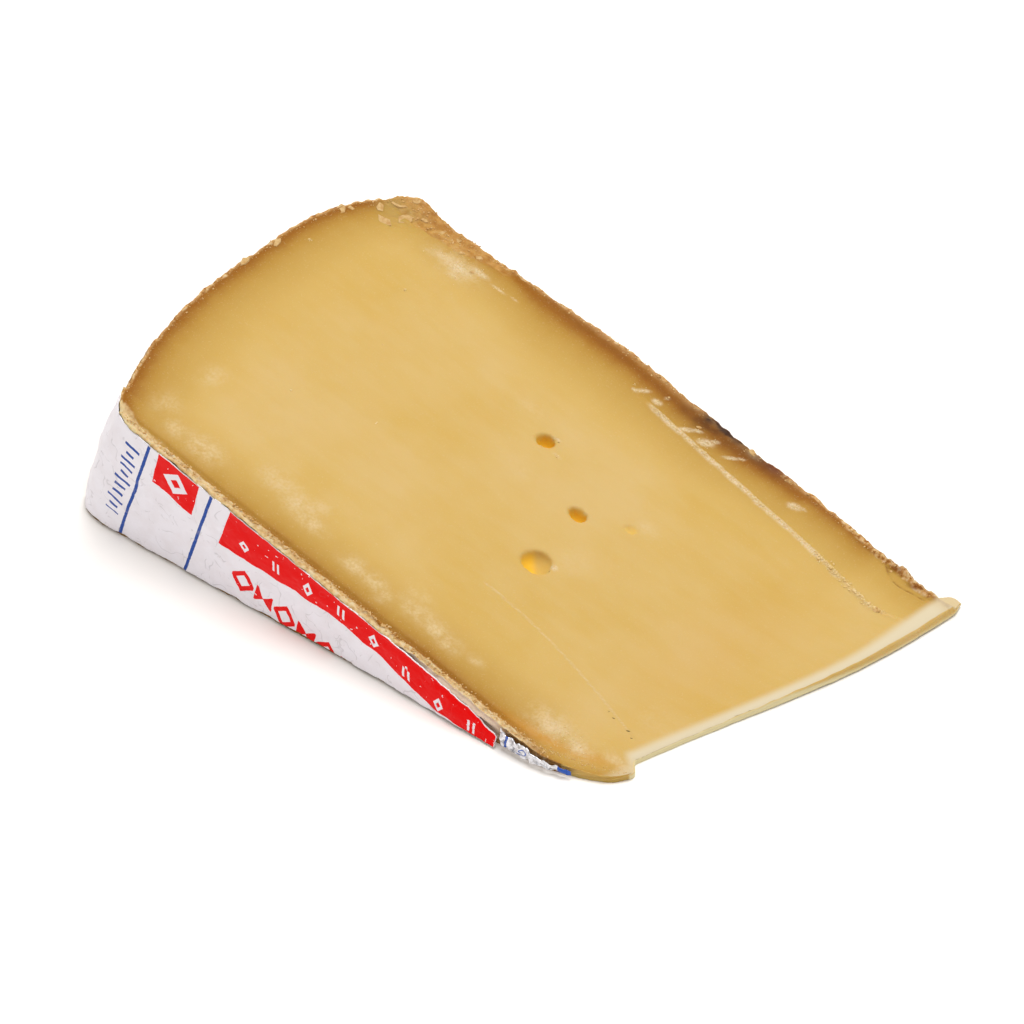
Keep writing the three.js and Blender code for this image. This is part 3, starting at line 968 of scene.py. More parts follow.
@dataclass(frozen=True)
class Print:
    """The label's generic print, in millimetres along and up the rind: over 0 is inside a shape."""

    tilt: float = math.radians(16.5)
    rule_width: float = 0.75
    rule_start: tuple[float, float] = (-47.7, 25.1)
    rule_way: tuple[float, float] = (-0.362, -0.932)
    tick_step: float = 1.95
    tick_off: float = 3.3
    motif_step: float = 8.0
    chain_step: float = 5.4
    chain_size: float = 3.1

    def turned(self, x: Term, z: Term, at: tuple[float, float]) -> tuple[Term, Term]:
        """Coordinates about a point, turned with the print.

        Args:
            x, z: The place, along and up the rind.
            at: The point.
        Returns:
            Both coordinates.
        """
        dx, dz = x - at[0], z - at[1]
        return (dx * math.cos(self.tilt) - dz * math.sin(self.tilt),
                dz * math.cos(self.tilt) + dx * math.sin(self.tilt))

    def lozenge(self, a: Term, b: Term, half_a: float, half_b: float) -> Term:
        """A diamond standing on its point."""
        return (-(abs(a) * (1.0 / half_a) + abs(b) * (1.0 / half_b)) + 1.0) * (0.7 * min(half_a, half_b))

    def box(self, a: Term, b: Term, half_a: float, half_b: float) -> Term:
        """A rectangle."""
        return (-abs(a) + half_a).least(-abs(b) + half_b)

    def rule(self, x: Term, z: Term, start: tuple[float, float]) -> tuple[Term, Term]:
        """Place along a slanting rule, and off it to the left.

        Args:
            x, z: The place, along and up the rind.
            start: A point on the rule.
        Returns:
            Both distances.
        """
        dx, dz = x - start[0], z - start[1]
        return (dx * self.rule_way[0] + dz * self.rule_way[1],
                dx * self.rule_way[1] - dz * self.rule_way[0])

    def blue(self, x: Term, z: Term) -> Term:
        """Two slanting rules, and beside the first a row of ticks of uneven height.

        Args:
            x, z: The place, along and up the rind.
        Returns:
            The signed distance, over 0 inside the shapes.
        """
        along, off = self.rule(x, z, self.rule_start)
        first = -abs(off) + self.rule_width / 2.0
        _, far_off = self.rule(x, z, (-31.7, 22.4))
        second = -abs(far_off) + self.rule_width / 2.0
        place, number = along.cell(self.tick_step)
        height = (number * 2.3).step("SINE") * 0.5 + 1.5
        ticks = (-abs(place) + 0.33).least(height - abs(off - self.tick_off), along - 2.0, -along + 22.5)
        return first.most(second, ticks)

    def square(self, x: Term, z: Term) -> Term:
        """A square with a diamond left white in it, and a small one printed in that.

        Args:
            x, z: The place, along and up the rind.
        Returns:
            The signed distance, over 0 inside the shapes.
        """
        a, b = self.turned(x, z, (-41.0, 20.6))
        hole = self.lozenge(a, b, 3.1, 2.5)
        return self.box(a, b, 5.2, 3.9).least(-hole).most(self.lozenge(a, b, 1.3, 1.0))

    def band(self, x: Term, z: Term, above: Term) -> Term:
        """The long band, with small diamonds and pairs of bars left white in it.

        Args:
            x, z: The place.
            above: How far the place is above the band's lower edge.
        Returns:
            The signed distance.
        """
        start = (x + 30.7) * 0.931 - (z - 12.0) * 0.368
        a, number = (x + 28.0).cell(self.motif_step)
        b = above - 3.1 + (x + 24.0) * 0.028
        gem = self.lozenge(a, b, 1.25, 1.4).least(-self.lozenge(a, b, 0.55, 0.6))
        bars = self.box(abs(a) - 0.62, b, 0.24, 1.05)
        odd = number.step("MODULO", 2.0).step("ABSOLUTE")
        motif = gem * (-odd + 1.0) + bars * odd
        return (above * 0.9).least(start, -motif)

    def chain(self, x: Term, z: Term) -> Term:
        """A border of open diamonds and of triangles that meet tip to tip.

        Args:
            x, z: The place, along and up the rind.
        Returns:
            The signed distance, over 0 inside the shapes.
        """
        a, b = self.turned(x, z, (-24.9, 5.9))
        place, number = (a + self.chain_step / 2.0).cell(self.chain_step)
        size = self.chain_size
        gem = self.lozenge(place, b, size, size).least(-self.lozenge(place, b, 0.52 * size, 0.52 * size))
        bow = abs(b) * -0.8 + abs(place) * 0.8 + 0.1
        bow = bow.least(-abs(place) + 0.72 * size, -abs(b) + 0.62 * size)
        odd = number.step("MODULO", 2.0).step("ABSOLUTE")
        return (gem * (-odd + 1.0) + bow * odd).least(a + 3.0, -a + 31.0)

    def red(self, x: Term, z: Term, above: Term) -> Term:
        """All that is printed in red."""
        return self.square(x, z).most(self.band(x, z, above), self.chain(x, z))


@dataclass(frozen=True)
class PaperLook:
    """The label: creased white paper on foil, printed in red and blue."""

    paper: Colour = (0.85, 0.845, 0.93)
    warm: Colour = (0.82, 0.805, 0.88)
    # Painted shade in the paper's creases.
    crease_and_shade: Colour = (0.34, 0.33, 0.37)
    foil: Colour = (0.79, 0.80, 0.87)
    red: Colour = (0.80, 0.0, 0.0)
    blue: Colour = (0.022, 0.075, 0.36)
    fibre: Colour = (0.88, 0.84, 0.84)

    def material(self) -> bpy.types.Material:
        """Builds the material.

        Returns:
            The finished material.
        """
        g = Graph("label_paper")
        tone = g.ramp(g.noise(4.0, 4.0, 2.0), [(0.36, self.warm), (0.56, self.paper)])
        worn = (g.noise(0.45, 3.0, 6.0) - 0.5) * 0.16
        x, z = g.layer("print_x"), g.layer("print_z")
        shapes = Print()
        red = g.span(shapes.red(x, z, g.layer("band_mm")) + worn, -0.03, 0.05)
        blue = g.span(shapes.blue(x, z) + worn, -0.03, 0.05)
        scuff = g.span(g.noise(0.9, 5.0, 12.0), 0.685, 0.71)
        # Crease lines, painted grey as their shade and also used for their relief; weaker on the red print.
        long = g.vein(6.0, 3.0, 0.012) * g.span(g.noise(3.2, 2.0, 15.0), 0.46, 0.56)
        short = g.vein(3.4, 7.0, 0.014) * g.span(g.noise(2.4, 2.0, 25.0), 0.54, 0.62)
        crease_and_shade = long.most(short) * g.span(red, 0.0, 1.0, 0.34, 0.04)
        torn = g.span(g.layer("edge_mm") + worn, 0.02, 0.2, 1.0, 0.0)
        shiny = (torn * g.span(g.noise(1.2, 3.0, 18.0), 0.42, 0.5)).most(g.layer("inside"))
        colour = g.coats(
            tone, (blue, self.blue), (red * (-scuff + 1.0), self.red), (crease_and_shade, self.crease_and_shade),
            (torn, self.fibre), (shiny, self.foil),
        )
        g.set(Base_Color=colour, Metallic=shiny * 0.85)
        satin = g.span(g.noise(4.0, 3.0, 21.0), 0.3, 0.7, 0.36, 0.52)
        g.set(Roughness=satin - shiny * 0.16, Specular_IOR_Level=0.1)
        g.bump(crease_and_shade, 0.12, 0.6)
        g.bump(g.noise(0.7, 4.0, 8.0), 0.05, 0.4)
        return g.material


@dataclass(frozen=True)
class FoilLook:
    """The crumpled end: bare foil with a little blue print left on it."""

    silver: Colour = linear(228, 229, 235)
    shade: Colour = linear(150, 152, 160)
    blue: Colour = linear(30, 82, 176)

    def material(self) -> bpy.types.Material:
        """Builds the material.

        Returns:
            The finished material.
        """
        g = Graph("label_foil")
        tone = g.ramp(g.noise(1.0, 4.0, 2.0), [(0.32, self.shade), (0.5, self.silver)])
        blue = g.span(g.layer("blue_mm") + g.noise(0.5, 3.0) * 0.2, 0.08, 0.16)
        g.set(Base_Color=g.blend(blue, tone, self.blue))
        g.set(Metallic=blue * -0.45 + 0.8)
        g.set(Roughness=g.span(g.noise(1.6, 3.0, 5.0), 0.3, 0.7, 0.2, 0.42))
        g.bump(g.noise(0.5, 3.0, 9.0), 0.06, 0.5)
        return g.material


@dataclass(frozen=True)
class FloorLook:
    """The plain pale floor."""

    white: Colour = (0.93, 0.93, 0.93)

    def material(self) -> bpy.types.Material:
        """Builds the material.

        Returns:
            The finished material.
        """
        g = Graph("floor")
        tint = tuple(0.995 * c for c in self.white)
        g.set(Base_Color=g.ramp(g.noise(60.0, 2.0), [(0.4, tint), (0.6, self.white)]))
        g.set(Roughness=0.6, Specular_IOR_Level=0.25)
        return g.material


def mesh_piece(name: str, points: Array, faces: list, looks: Sequence[bpy.types.Material],
               layers: dict[str, Array] | None = None, slots: Array | None = None,
               smooth: bool = True) -> bpy.types.Object:
    """Makes an object of the scene from arrays.

    Args:
        name: The piece's name.
        points: Vertices in the wedge's own millimetres.
        faces: Vertex numbers of each face.
        looks: Its materials.
        layers: Values for each vertex, by name.
        slots: Which material each face has.
        smooth: Whether its faces are shaded as one rounded surface.
    Returns:
        The object, in the scene's own collection.
    """
    mesh = bpy.data.meshes.new(name)
    mesh.from_pydata(to_frame(points).tolist(), [], faces)
    mesh.polygons.foreach_set("use_smooth", np.full(len(faces), smooth))
    for look in looks:
        mesh.materials.append(look)
    if slots is not None:
        mesh.polygons.foreach_set("material_index", slots)
    for key, values in (layers or {}).items():
        made = mesh.attributes.new(key, "FLOAT", "POINT")
        made.data.foreach_set("value", np.asarray(values, np.float32))
    mesh.update()
    piece = bpy.data.objects.new(name, mesh)
    bpy.context.scene.collection.objects.link(piece)
    return piece


def quads(index: Array) -> Array:
    """Faces between neighbours of a grid of vertex numbers, facing up where its rows run in X."""
    corners = (index[:-1, :-1], index[1:, :-1], index[1:, 1:], index[:-1, 1:])
    return np.stack([c.ravel() for c in corners], 1)


# Where things show on the cut face. Frost is paste broken to white grains, bloom is the pale
# dust along the label, and the lines are bent ones, corner by corner, all in millimetres.
FROST_SPOTS = (
    Spot(-46.9, 33.7, 2.2, 0.9, 0.35), Spot(-44.4, 34.8, 2.6, 1.2, 0.5), Spot(-40.6, 34.9, 3.6, 2.0, 0.7),
    Spot(-39.6, 32.6, 2.2, 1.0, 0.5), Spot(-36.8, 37.0, 2.6, 0.9, 0.75),
    Spot(-31.7, 36.6, 2.0, 0.4, 0.7), Spot(-28.0, 37.0, 1.2, 0.3, 0.6),
    Spot(3.0, 38.2, 1.7, 0.5, 0.9, 48.0), Spot(2.0, 37.2, 0.9, 0.5, 0.8),
    Spot(6.4, 38.4, 1.1, 0.8, 0.9, 20.0), Spot(7.0, 40.6, 0.8, 0.5, 0.6, 60.0),
    Spot(14.4, 37.4, 1.8, 0.6, 1.0, 42.0), Spot(16.0, 38.8, 1.2, 0.5, 0.9, 30.0),
    Spot(18.9, 37.7, 1.8, 1.0, 1.0, 35.0), Spot(20.0, 39.2, 1.1, 0.6, 0.8, 50.0),
    Spot(24.4, 38.4, 1.7, 0.5, 0.9, 38.0), Spot(26.0, 39.8, 0.9, 0.4, 0.8, 30.0),
    Spot(40.0, 38.2, 1.5, 0.9, 1.0, 20.0), Spot(41.6, 39.0, 0.9, 0.4, 0.7),
    Spot(56.5, 30.0, 1.6, 0.7, 0.7), Spot(44.3, -36.2, 3.0, 2.2, 0.5), Spot(50.5, -37.0, 2.6, 1.4, 0.45),
    Spot(20.3, -7.9, 0.9, 0.7, 1.0), Spot(0.2, 16.3, 1.1, 0.35, 0.9), Spot(3.0, 13.2, 1.4, 0.5, 0.5),
)
BLOOM_SPOTS = (
    Spot(-46.7, -36.9, 2.6, 1.9, 0.8), Spot(-40.3, -36.3, 4.2, 2.5, 1.0), Spot(-51.2, -22.1, 2.2, 2.6, 0.7),
    Spot(-52.0, -34.0, 3.0, 3.0, 0.5), Spot(-25.8, -31.4, 4.4, 2.6, 0.9), Spot(-19.8, -32.7, 3.8, 2.5, 1.0),
    Spot(-15.9, -34.3, 3.2, 1.7, 1.0), Spot(-16.8, -30.1, 2.4, 1.6, 0.7), Spot(-3.7, -35.7, 3.2, 1.7, 1.0),
    Spot(1.1, -35.7, 2.8, 1.7, 0.9), Spot(4.2, -37.0, 2.2, 1.5, 0.9), Spot(8.0, -31.5, 3.0, 1.6, 0.6),
    Spot(10.8, -34.9, 3.8, 1.9, 1.0), Spot(15.7, -35.5, 3.2, 1.8, 1.0), Spot(19.5, -36.0, 2.4, 1.8, 1.0),
    Spot(24.9, -35.3, 1.6, 1.0, 0.9), Spot(44.0, -36.0, 5.0, 3.2, 1.0), Spot(50.5, -36.7, 3.6, 2.2, 1.0),
    Spot(60.7, -33.2, 2.6, 1.8, 1.0), Spot(-41.0, 35.0, 5.6, 3.0, 0.8), Spot(25.6, 12.4, 2.4, 1.4, 0.7),
    Spot(21.6, -4.0, 3.0, 4.0, 0.5), Spot(-8.0, 18.5, 3.0, 1.4, 0.4), Spot(0.8, 5.0, 4.0, 2.4, 0.4),
    Spot(57.0, -22.0, 5.0, 3.0, 0.3), Spot(26.9, 42.4, 1.4, 0.8, 0.9), Spot(58.0, -34.6, 3.0, 1.6, 0.9),
)
STAIN_SPOTS = (
    Spot(20.4, 43.6, 4.6, 1.6, 2.0), Spot(16.6, 43.2, 3.0, 1.5, 1.0), Spot(17.4, 41.6, 7.0, 3.0, 0.42),
    Spot(28.0, 42.6, 6.0, 2.4, 0.35),
)
AMBER_SPOTS = (
    Spot(54.0, -2.0, 10.0, 24.0, 0.13), Spot(44.0, -39.6, 8.0, 1.3, 0.75, 8.0),
    Spot(53.0, -37.4, 6.0, 1.6, 0.55, 20.0),
)
END_CRACK = ((60.5, 39.6), (63.2, 37.4), (65.2, 36.2), (67.8, 35.6), (70.6, 35.5), (73.4, 35.1))
BURNT_LINE = ((-24.0, 42.2), (-8.0, 41.9), (8.0, 41.4), (30.0, 41.2))
RUSSET_SPOTS = (
    Spot(31.4, 43.2, 3.4, 1.9, 1.2), Spot(63.6, 39.0, 1.6, 0.5, 0.8), Spot(69.5, 37.0, 1.4, 0.4, 0.8),
)
OLIVE_SPOTS = (Spot(-59.4, 37.2, 3.2, 2.8, 0.6), Spot(-56.0, 38.6, 2.2, 1.6, 0.4))
MOULD_SPOTS = (
    Spot(48.9, -26.2, 0.35, 0.22), Spot(50.4, -26.7, 0.5, 0.12), Spot(54.3, -27.3, 0.8, 0.16),
    Spot(56.0, -28.3, 0.3, 0.14), Spot(0.6, 4.5, 0.16, 0.16), Spot(11.1, 0.8, 0.14, 0.14),
    Spot(1.2, 15.9, 0.3, 0.16, 0.8), Spot(20.2, -9.2, 0.2, 0.3, 0.8), Spot(65.7, -39.1, 0.2, 0.2, 0.8),
    Spot(-54.4, -30.0, 0.14, 0.14, 0.8), Spot(59.6, -38.6, 0.24, 0.12, 0.8),
)
CORNER_LINE = (
    (-61.0, 36.6), (-58.3, 36.8), (-50.6, 36.7), (-44.9, 37.5), (-39.8, 39.0), (-34.5, 40.2), (-30.0, 41.5),
)
CORNER_END_X = -31.0
SCRATCH_X = (13.0, 58.0)  # where the knife's scratch begins and ends
OVERHANG_END_X = 18.0  # up to here a lip of rind hangs over the label
BEAD_X = (16.0, 39.0)  # where a bead of rind shows above the bared end of the label
LOBE_X = 51.0  # from here on the labelled side shows paste, not rind
FLAP_X = 60.0  # from here on the bare side's lower part is the thin flap of paste
FAR_OFF = 500.0  # a place on the print that nothing is printed at


def off_line(line: Sequence[tuple[float, float]], x: Array, y: Array) -> Array:
    """Distance of places from a bent line.

    Args:
        line: Its corners.
        x, y: Places, in the wedge's own millimetres.
    Returns:
        The distances.
    """
    found = np.full(np.broadcast(x, y).shape, np.inf)
    for (x0, y0), (x1, y1) in zip(line, line[1:]):
        dx, dy = x1 - x0, y1 - y0
        share = np.clip(((x - x0) * dx + (y - y0) * dy) / (dx * dx + dy * dy), 0.0, 1.0)
        found = np.minimum(found, np.hypot(x - x0 - share * dx, y - y0 - share * dy))
    return found


def corner_mask(x: Array, y: Array) -> Array:
    """1 where the corner of heel and bare rind has broken away and shows brown.

    Args:
        x, y: Places, in the wedge's own millimetres.
    Returns:
        The cover, 0 to 1.
    """
    line = np.interp(x, *np.array(CORNER_LINE).T)
    ragged = y - line + 0.35 * grit(x, y, 2.4, 2)
    return ease(ragged / 0.5) * ease((CORNER_END_X - x) / 5.0)


@dataclass
class CheeseBody:
    """The paste and its rind: one closed, finely divided mesh."""

    along: int = 400
    across: int = 240
    rows: int = 40
    foot_step: int = 8  # so many fine steps make one cell of the underside
    gather: float = 0.06  # how far the mesh is drawn together at the edges
    form: WedgeForm = FORM

    def sides(self) -> Array:
        """Which wall each step of the outline belongs to."""
        counts = (self.along, self.across, self.along, self.across)
        return np.repeat([side.value for side in Side], counts)

    def outline(self, share: float) -> Array:
        """The plan outline at a share of the height, before its relief.

        Args:
            share: The ring's height as a share of the wedge's height there.
        Returns:
            X and Y of each step of the outline.
        """
        u = crowd(np.arange(self.along) / self.along, self.gather)
        v = crowd(np.arange(self.across) / self.across, self.gather)
        back_u = crowd(1.0 - np.arange(self.along) / self.along, self.gather)
        back_v = crowd(1.0 - np.arange(self.across) / self.across, self.gather)
        walls = (
            self.form.label_point(u, share), self.form.tip_point(v, share),
            self.form.bare_point(back_u, share), self.form.heel_point(back_v, share),
        )
        return np.concatenate([np.stack(wall, 1) for wall in walls])

    def coarse_relief(self) -> Array:
        """How far the rind's larger crags reach at each step of the outline.

        Returns:
            Lengths in millimetres.
        """
        u = crowd(np.arange(self.along) / self.along, self.gather)
        back_v = crowd(1.0 - np.arange(self.across) / self.across, self.gather)
        return np.concatenate([
            0.25 * ease((u - 0.9) / 0.1), np.full(self.across, 0.1),
            np.full(self.along, 0.38), 0.16 * ease((back_v - 0.1) / 0.1),
        ])

    def fine_relief(self, travel: Array, height: Array, share: float) -> Array:
        """Fine roughness of the walls, in millimetres outwards.

        Args:
            travel: Length along the ring.
            height: Height of each step.
            share: Height as a share of the wedge's height there.
        Returns:
            The relief of each step of the outline.
        """
        sides = self.sides()
        walls = [sides == side.value for side in (Side.LABEL, Side.TIP, Side.BARE)]
        depth = np.select(walls, [0.1, 0.03, 0.2], 0.12)
        rind = sides >= Side.BARE.value
        rough = grit(travel, height, 1.5, 4) * depth
        pits = -0.35 * np.clip(grit(travel + 50.0, height, 2.4, 3) - 0.75, 0.0, 1.0) * rind
        worn = -0.22 * np.clip((share - 0.93) / 0.07, 0.0, 1.0) ** 2 * rind
        soft = -0.16 * np.clip((share - 0.75) / 0.25, 0.0, 1.0) ** 2 * (sides == Side.TIP.value)
        return rough + pits + worn + soft

    def ring(self, share: float) -> Array:
        """One ring of wall in plan, with its relief.

        Args:
            share: The ring's height as a share of the wedge's height there.
        Returns:
            X and Y of each step of the outline.
        """
        plain = self.outline(share)
        step = np.roll(plain, -1, 0) - np.roll(plain, 1, 0)
        normal = np.stack([step[:, 1], -step[:, 0]], 1)
        normal /= np.linalg.norm(normal, axis=1, keepdims=True)
        height = self.form.cut_plane(plain[:, 0], plain[:, 1]) * share
        travel = plain[:, 0] + plain[:, 1]
        out = self.coarse_relief() * crags(travel, height * 1.6, 3.4)
        length = np.cumsum(np.linalg.norm(np.diff(plain, axis=0, append=plain[:1]), axis=1))
        out = out + self.fine_relief(length, height, share)
        down = height * (1.0 / max(share, 1e-6) - 1.0)
        near_label = (plain[:, 1] < -37.0) & (plain[:, 0] < 60.0)
        over = ease((0.42 - down) / 0.25) * near_label * ease((OVERHANG_END_X - plain[:, 0]) / 8.0)
        out = out + over * (0.6 + 0.15 * grit(travel, 0.0 * travel, 1.3, 3))
        bead = near_label * ease((plain[:, 0] - BEAD_X[0]) / 8.0) * ease((BEAD_X[1] - plain[:, 0]) / 4.0)
        out = out + bead * (0.5 * bell(down - 0.95, 0.5) - 0.2 * bell(down - 0.4, 0.2))
        return plain + normal * out[:, None]

    def patch(self, ring: Array) -> tuple[Array, Array]:
        """Plan positions inside a ring, from its four sides.

        Args:
            ring: X and Y of each step of the outline.
        Returns:
            X and Y as grids, along and across.
        """
        a, c, n = self.along, self.across, len(ring)
        i, j = np.arange(a + 1), np.arange(c + 1)
        u, v = crowd(i / a, self.gather)[:, None, None], crowd(j / c, self.gather)[None, :, None]
        label, bare = ring[i][:, None], ring[2 * a + c - i][:, None]
        tip, heel = ring[(a + j) % n][None], ring[(2 * (a + c) - j) % n][None]
        corners = (
            ring[0] * (1 - u) * (1 - v) + ring[a] * u * (1 - v)
            + ring[a + c] * u * v + ring[2 * a + c] * (1 - u) * v
        )
        place = label * (1 - v) + bare * v + heel * (1 - u) + tip * u - corners
        return place[..., 0], place[..., 1]

    def scratch_y(self, x: Array) -> Array:
        """Y of the bowed scratch that the knife left."""
        return -20.4 - 0.0043 * (x - 14.0) ** 2

    def off_tip(self, x: Array, y: Array) -> Array:
        """0 within 3 mm of the tip's edge, 1 from 6 mm on."""
        return ease((self.form.tip_x(y) - x - 3.0) / 3.0)

    def face_height(self, x: Array, y: Array) -> Array:
        """Height of the cut face with all its relief."""
        return self.form.cut_height(x, y) + self.surface_detail(x, y)

    def surface_detail(self, x: Array, y: Array) -> Array:
        """Relief of the cut face that is finer than the solid's.

        Args:
            x, y: Places, in the wedge's own millimetres.
        Returns:
            Heights in millimetres.
        """
        form = self.form
        knife = 0.05 * hills(x / 17.0, y / 9.0) + 0.012 * grit(x, y, 1.4, 2)
        lumpy = 0.07 * covered(FROST_SPOTS, x, y) * (0.3 + grit(x, y, 0.9, 3))
        off_ledge = y - form.ledge_line(x)
        ragged = bell(off_ledge + 0.25 * grit(x, y, 2.0, 2), 0.65) * ease((x - 4.0) / 5.0)
        ledge = ragged * self.off_tip(x, y) * (0.14 + 0.16 * grit(x + 30.0, y, 0.8, 3))
        off = y - (self.scratch_y(x) + 0.12 * hills(x / 3.0, 0.0 * y))
        along = ease((x - SCRATCH_X[0]) / 2.0) * ease((SCRATCH_X[1] - x) / 2.0)
        scratch = along * (0.05 * bell(off - 0.35, 0.3) - 0.14 * bell(off, 0.2))
        inside = y - form.label_y
        band = ease((1.7 - inside) / 0.6) * ease((50.0 - x) / 8.0)
        ridges = 0.12 * np.cos(2.0 * np.pi * inside) + 0.22 * grit(x, 1.6 * y, 1.1, 4)
        near_crust = np.minimum(form.bare_edge(x) - y, x - form.heel_x(y, 1.0))
        end = ease((x - 50.0) / 8.0)
        crust = (0.2 + 0.16 * end) * ease((1.3 + 0.5 * end - near_crust) / 1.2) * grit(x, y, 1.2, 4)
        crust = crust - 0.18 * bell(off_line(END_CRACK, x, y), 0.2)
        flaky = bell(np.hypot((x + 57.0) / 1.4, y - 37.5), 4.0) * 0.2 * np.round(1.6 * grit(x, y, 3.6, 2))
        broken = corner_mask(x, y) * (0.3 * grit(x, y, 2.2, 4) - 0.15)
        to_tip = form.tip_x(y) - x
        lip = -0.55 * np.clip(1.0 - to_tip / 1.7, 0.0, 1.0) ** 2 * ease((y + 36.0) / 4.0)
        return knife + lumpy + ledge + scratch + band * ridges + crust + flaky + broken + lip

    def rind_distance(self, ring: Array, x: Array, y: Array) -> Array:
        """Distance of places on a cut face from the rind round it.

        Args:
            ring: The outline of the face.
            x, y: Places, in the wedge's own millimetres.
        Returns:
            The distances, rounded off in the corners.
        """
        a, c = self.along, self.across
        label, bare, heel = ring[: a + 1], ring[a + c: 2 * a + c + 1], ring[2 * a + c:]
        near = y - np.interp(x, label[:, 0], label[:, 1])
        far = np.interp(x, bare[::-1, 0], bare[::-1, 1]) - y
        back = x - np.interp(y, heel[::-1, 1], heel[::-1, 0])
        faded = near + 5.0 * ease((x - 40.0) / 14.0)
        faded = faded + ease(near / 1.5) * (1.0 + 1.6 * ease((-10.0 - x) / 40.0))
        soft = 1.4  # how far, in mm, the nearest two rinds' distances are blended
        total = sum(np.exp(-np.clip(d, 0.0, 60.0) / soft) for d in (faded, far, 0.95 * back))
        return np.maximum(0.0, -soft * np.log(total))

    def top(self, ring: Array, first: int, row: Array) -> tuple[Array, Array, Array]:
        """The upper cut face.

        Args:
            ring: The walls' top ring in plan.
            first: Number of the first new vertex.
            row: Vertex numbers of the top ring.
        Returns:
            Grid of vertex numbers, the new vertices, and how deep in an eye each one is.
        """
        x, y = self.patch(ring)
        for eye in self.form.eyes:
            x, y = eye.draw_in(x, y)
        x, y = x[1:-1, 1:-1], y[1:-1, 1:-1]
        z = self.face_height(x, y)
        deep = np.zeros(x.shape)
        for eye in self.form.eyes:
            middle = float(self.form.cut_plane(eye.x, eye.y))
            x, y, z, inside = eye.sink(x, y, z, middle)
            deep = np.maximum(deep, inside)
        a, c = self.along, self.across
        index = self.rim_index(row)
        index[1:-1, 1:-1] = first + np.arange((a - 1) * (c - 1)).reshape(a - 1, c - 1)
        return index, np.stack([x.ravel(), y.ravel(), z.ravel()], 1), deep.ravel()

    def rim_index(self, row: Array) -> Array:
        """A grid of vertex numbers with only its rim filled, from a ring of numbers.

        Args:
            row: Vertex numbers round the outline.
        Returns:
            The grid, 0 inside its rim.
        """
        a, c = self.along, self.across
        index = np.zeros((a + 1, c + 1), int)
        index[:, 0] = row[: a + 1]
        index[a, :] = row[a: a + c + 1]
        index[:, c] = row[a + c: 2 * a + c + 1][::-1]
        index[0, 1:] = row[2 * a + c:][::-1]
        return index

    def foot(self, ring: Array, first: int, row: Array) -> tuple[list[list[int]], Array]:
        """The lower cut face: coarse cells, joined all round to the fine ring.

        Args:
            ring: The walls' lowest ring in plan.
            first: Number of the first new vertex.
            row: Vertex numbers of that ring.
        Returns:
            The faces, looking down, and the new vertices.
        """
        step, (a, c) = self.foot_step, (self.along, self.across)
        x, y = self.patch(ring)
        x, y = x[step:-step:step, step:-step:step], y[step:-step:step, step:-step:step]
        points = np.stack([x.ravel(), y.ravel(), self.form.foot_height(x).ravel()], 1)
        index = self.rim_index(row)
        index[step:-step:step, step:-step:step] = first + np.arange(x.size).reshape(x.shape)
        faces = []
        for i in range(0, a, step):
            for j in range(0, c, step):
                low = index[i: i + step, j] if j == 0 else index[i: i + 1, j]
                right = index[i + step, j: j + step] if i + step == a else index[i + step: i + step + 1, j]
                if j + step == c:
                    high = index[i + step: i: -1, j + step]
                else:
                    high = index[i + step: i + step + 1, j + step]
                left = index[i, j + step: j: -1] if i == 0 else index[i: i + 1, j + step]
                faces.append(np.concatenate([low, right, high, left]).tolist()[::-1])
        return faces, points

    def build(self) -> bpy.types.Object:
        """Builds the mesh with its layers and dresses it.

        Returns:
            The piece.
        """
        shares = crowd(np.linspace(0.0, 1.0, self.rows + 1), 0.08)
        rings = [self.ring(float(share)) for share in shares]
        top, n = rings[-1], len(rings[0])
        edge = self.face_height(top[:, 0], top[:, 1])
        walls = []
        for share, ring in zip(shares, rings):
            low = self.form.foot_height(ring[:, 0])
            walls.append(np.column_stack([ring, low + (edge - low) * share]))
        wall_points = np.concatenate(walls)
        index = np.arange(len(wall_points)).reshape(len(shares), n)
        closed = np.concatenate([index, index[:, :1]], 1)
        wall_faces = quads(closed.T)
        side = np.tile(self.sides(), self.rows).reshape(self.rows, n).T.ravel()
        grid, top_points, deep = self.top(top, len(wall_points), index[-1])
        top_faces = quads(grid)
        foot_faces, foot_points = self.foot(rings[0], len(wall_points) + len(top_points), index[0])
        points = np.concatenate([wall_points, top_points, foot_points])
        faces = wall_faces.tolist() + top_faces.tolist() + foot_faces
        slots = np.zeros(len(faces), np.int32)
        middle = wall_points[wall_faces].mean(1)
        flap_top = 1.9 * ease((middle[:, 0] - 59.0) / 7.0) + 0.3 * grit(middle[:, 0], middle[:, 2], 1.6, 3)
        flap = (middle[:, 2] < flap_top) | (middle[:, 0] > 74.5)
        bare_flap = (side == Side.BARE.value) & (middle[:, 0] > FLAP_X) & flap
        near_lobe = (side == Side.LABEL.value) & (middle[:, 0] > LOBE_X)
        slots[: len(wall_faces)] = (side != Side.TIP.value) & ~bare_flap & ~near_lobe
        layers = self.layers(wall_points, top_points, foot_points, rings, deep)
        looks = [PasteLook().material(), RindLook().material()]
        piece = mesh_piece("cheese_wedge", points, faces, looks, layers, slots)
        smooth = np.ones(len(faces), bool)
        smooth[-len(foot_faces):] = False
        piece.data.polygons.foreach_set("use_smooth", smooth)
        return piece

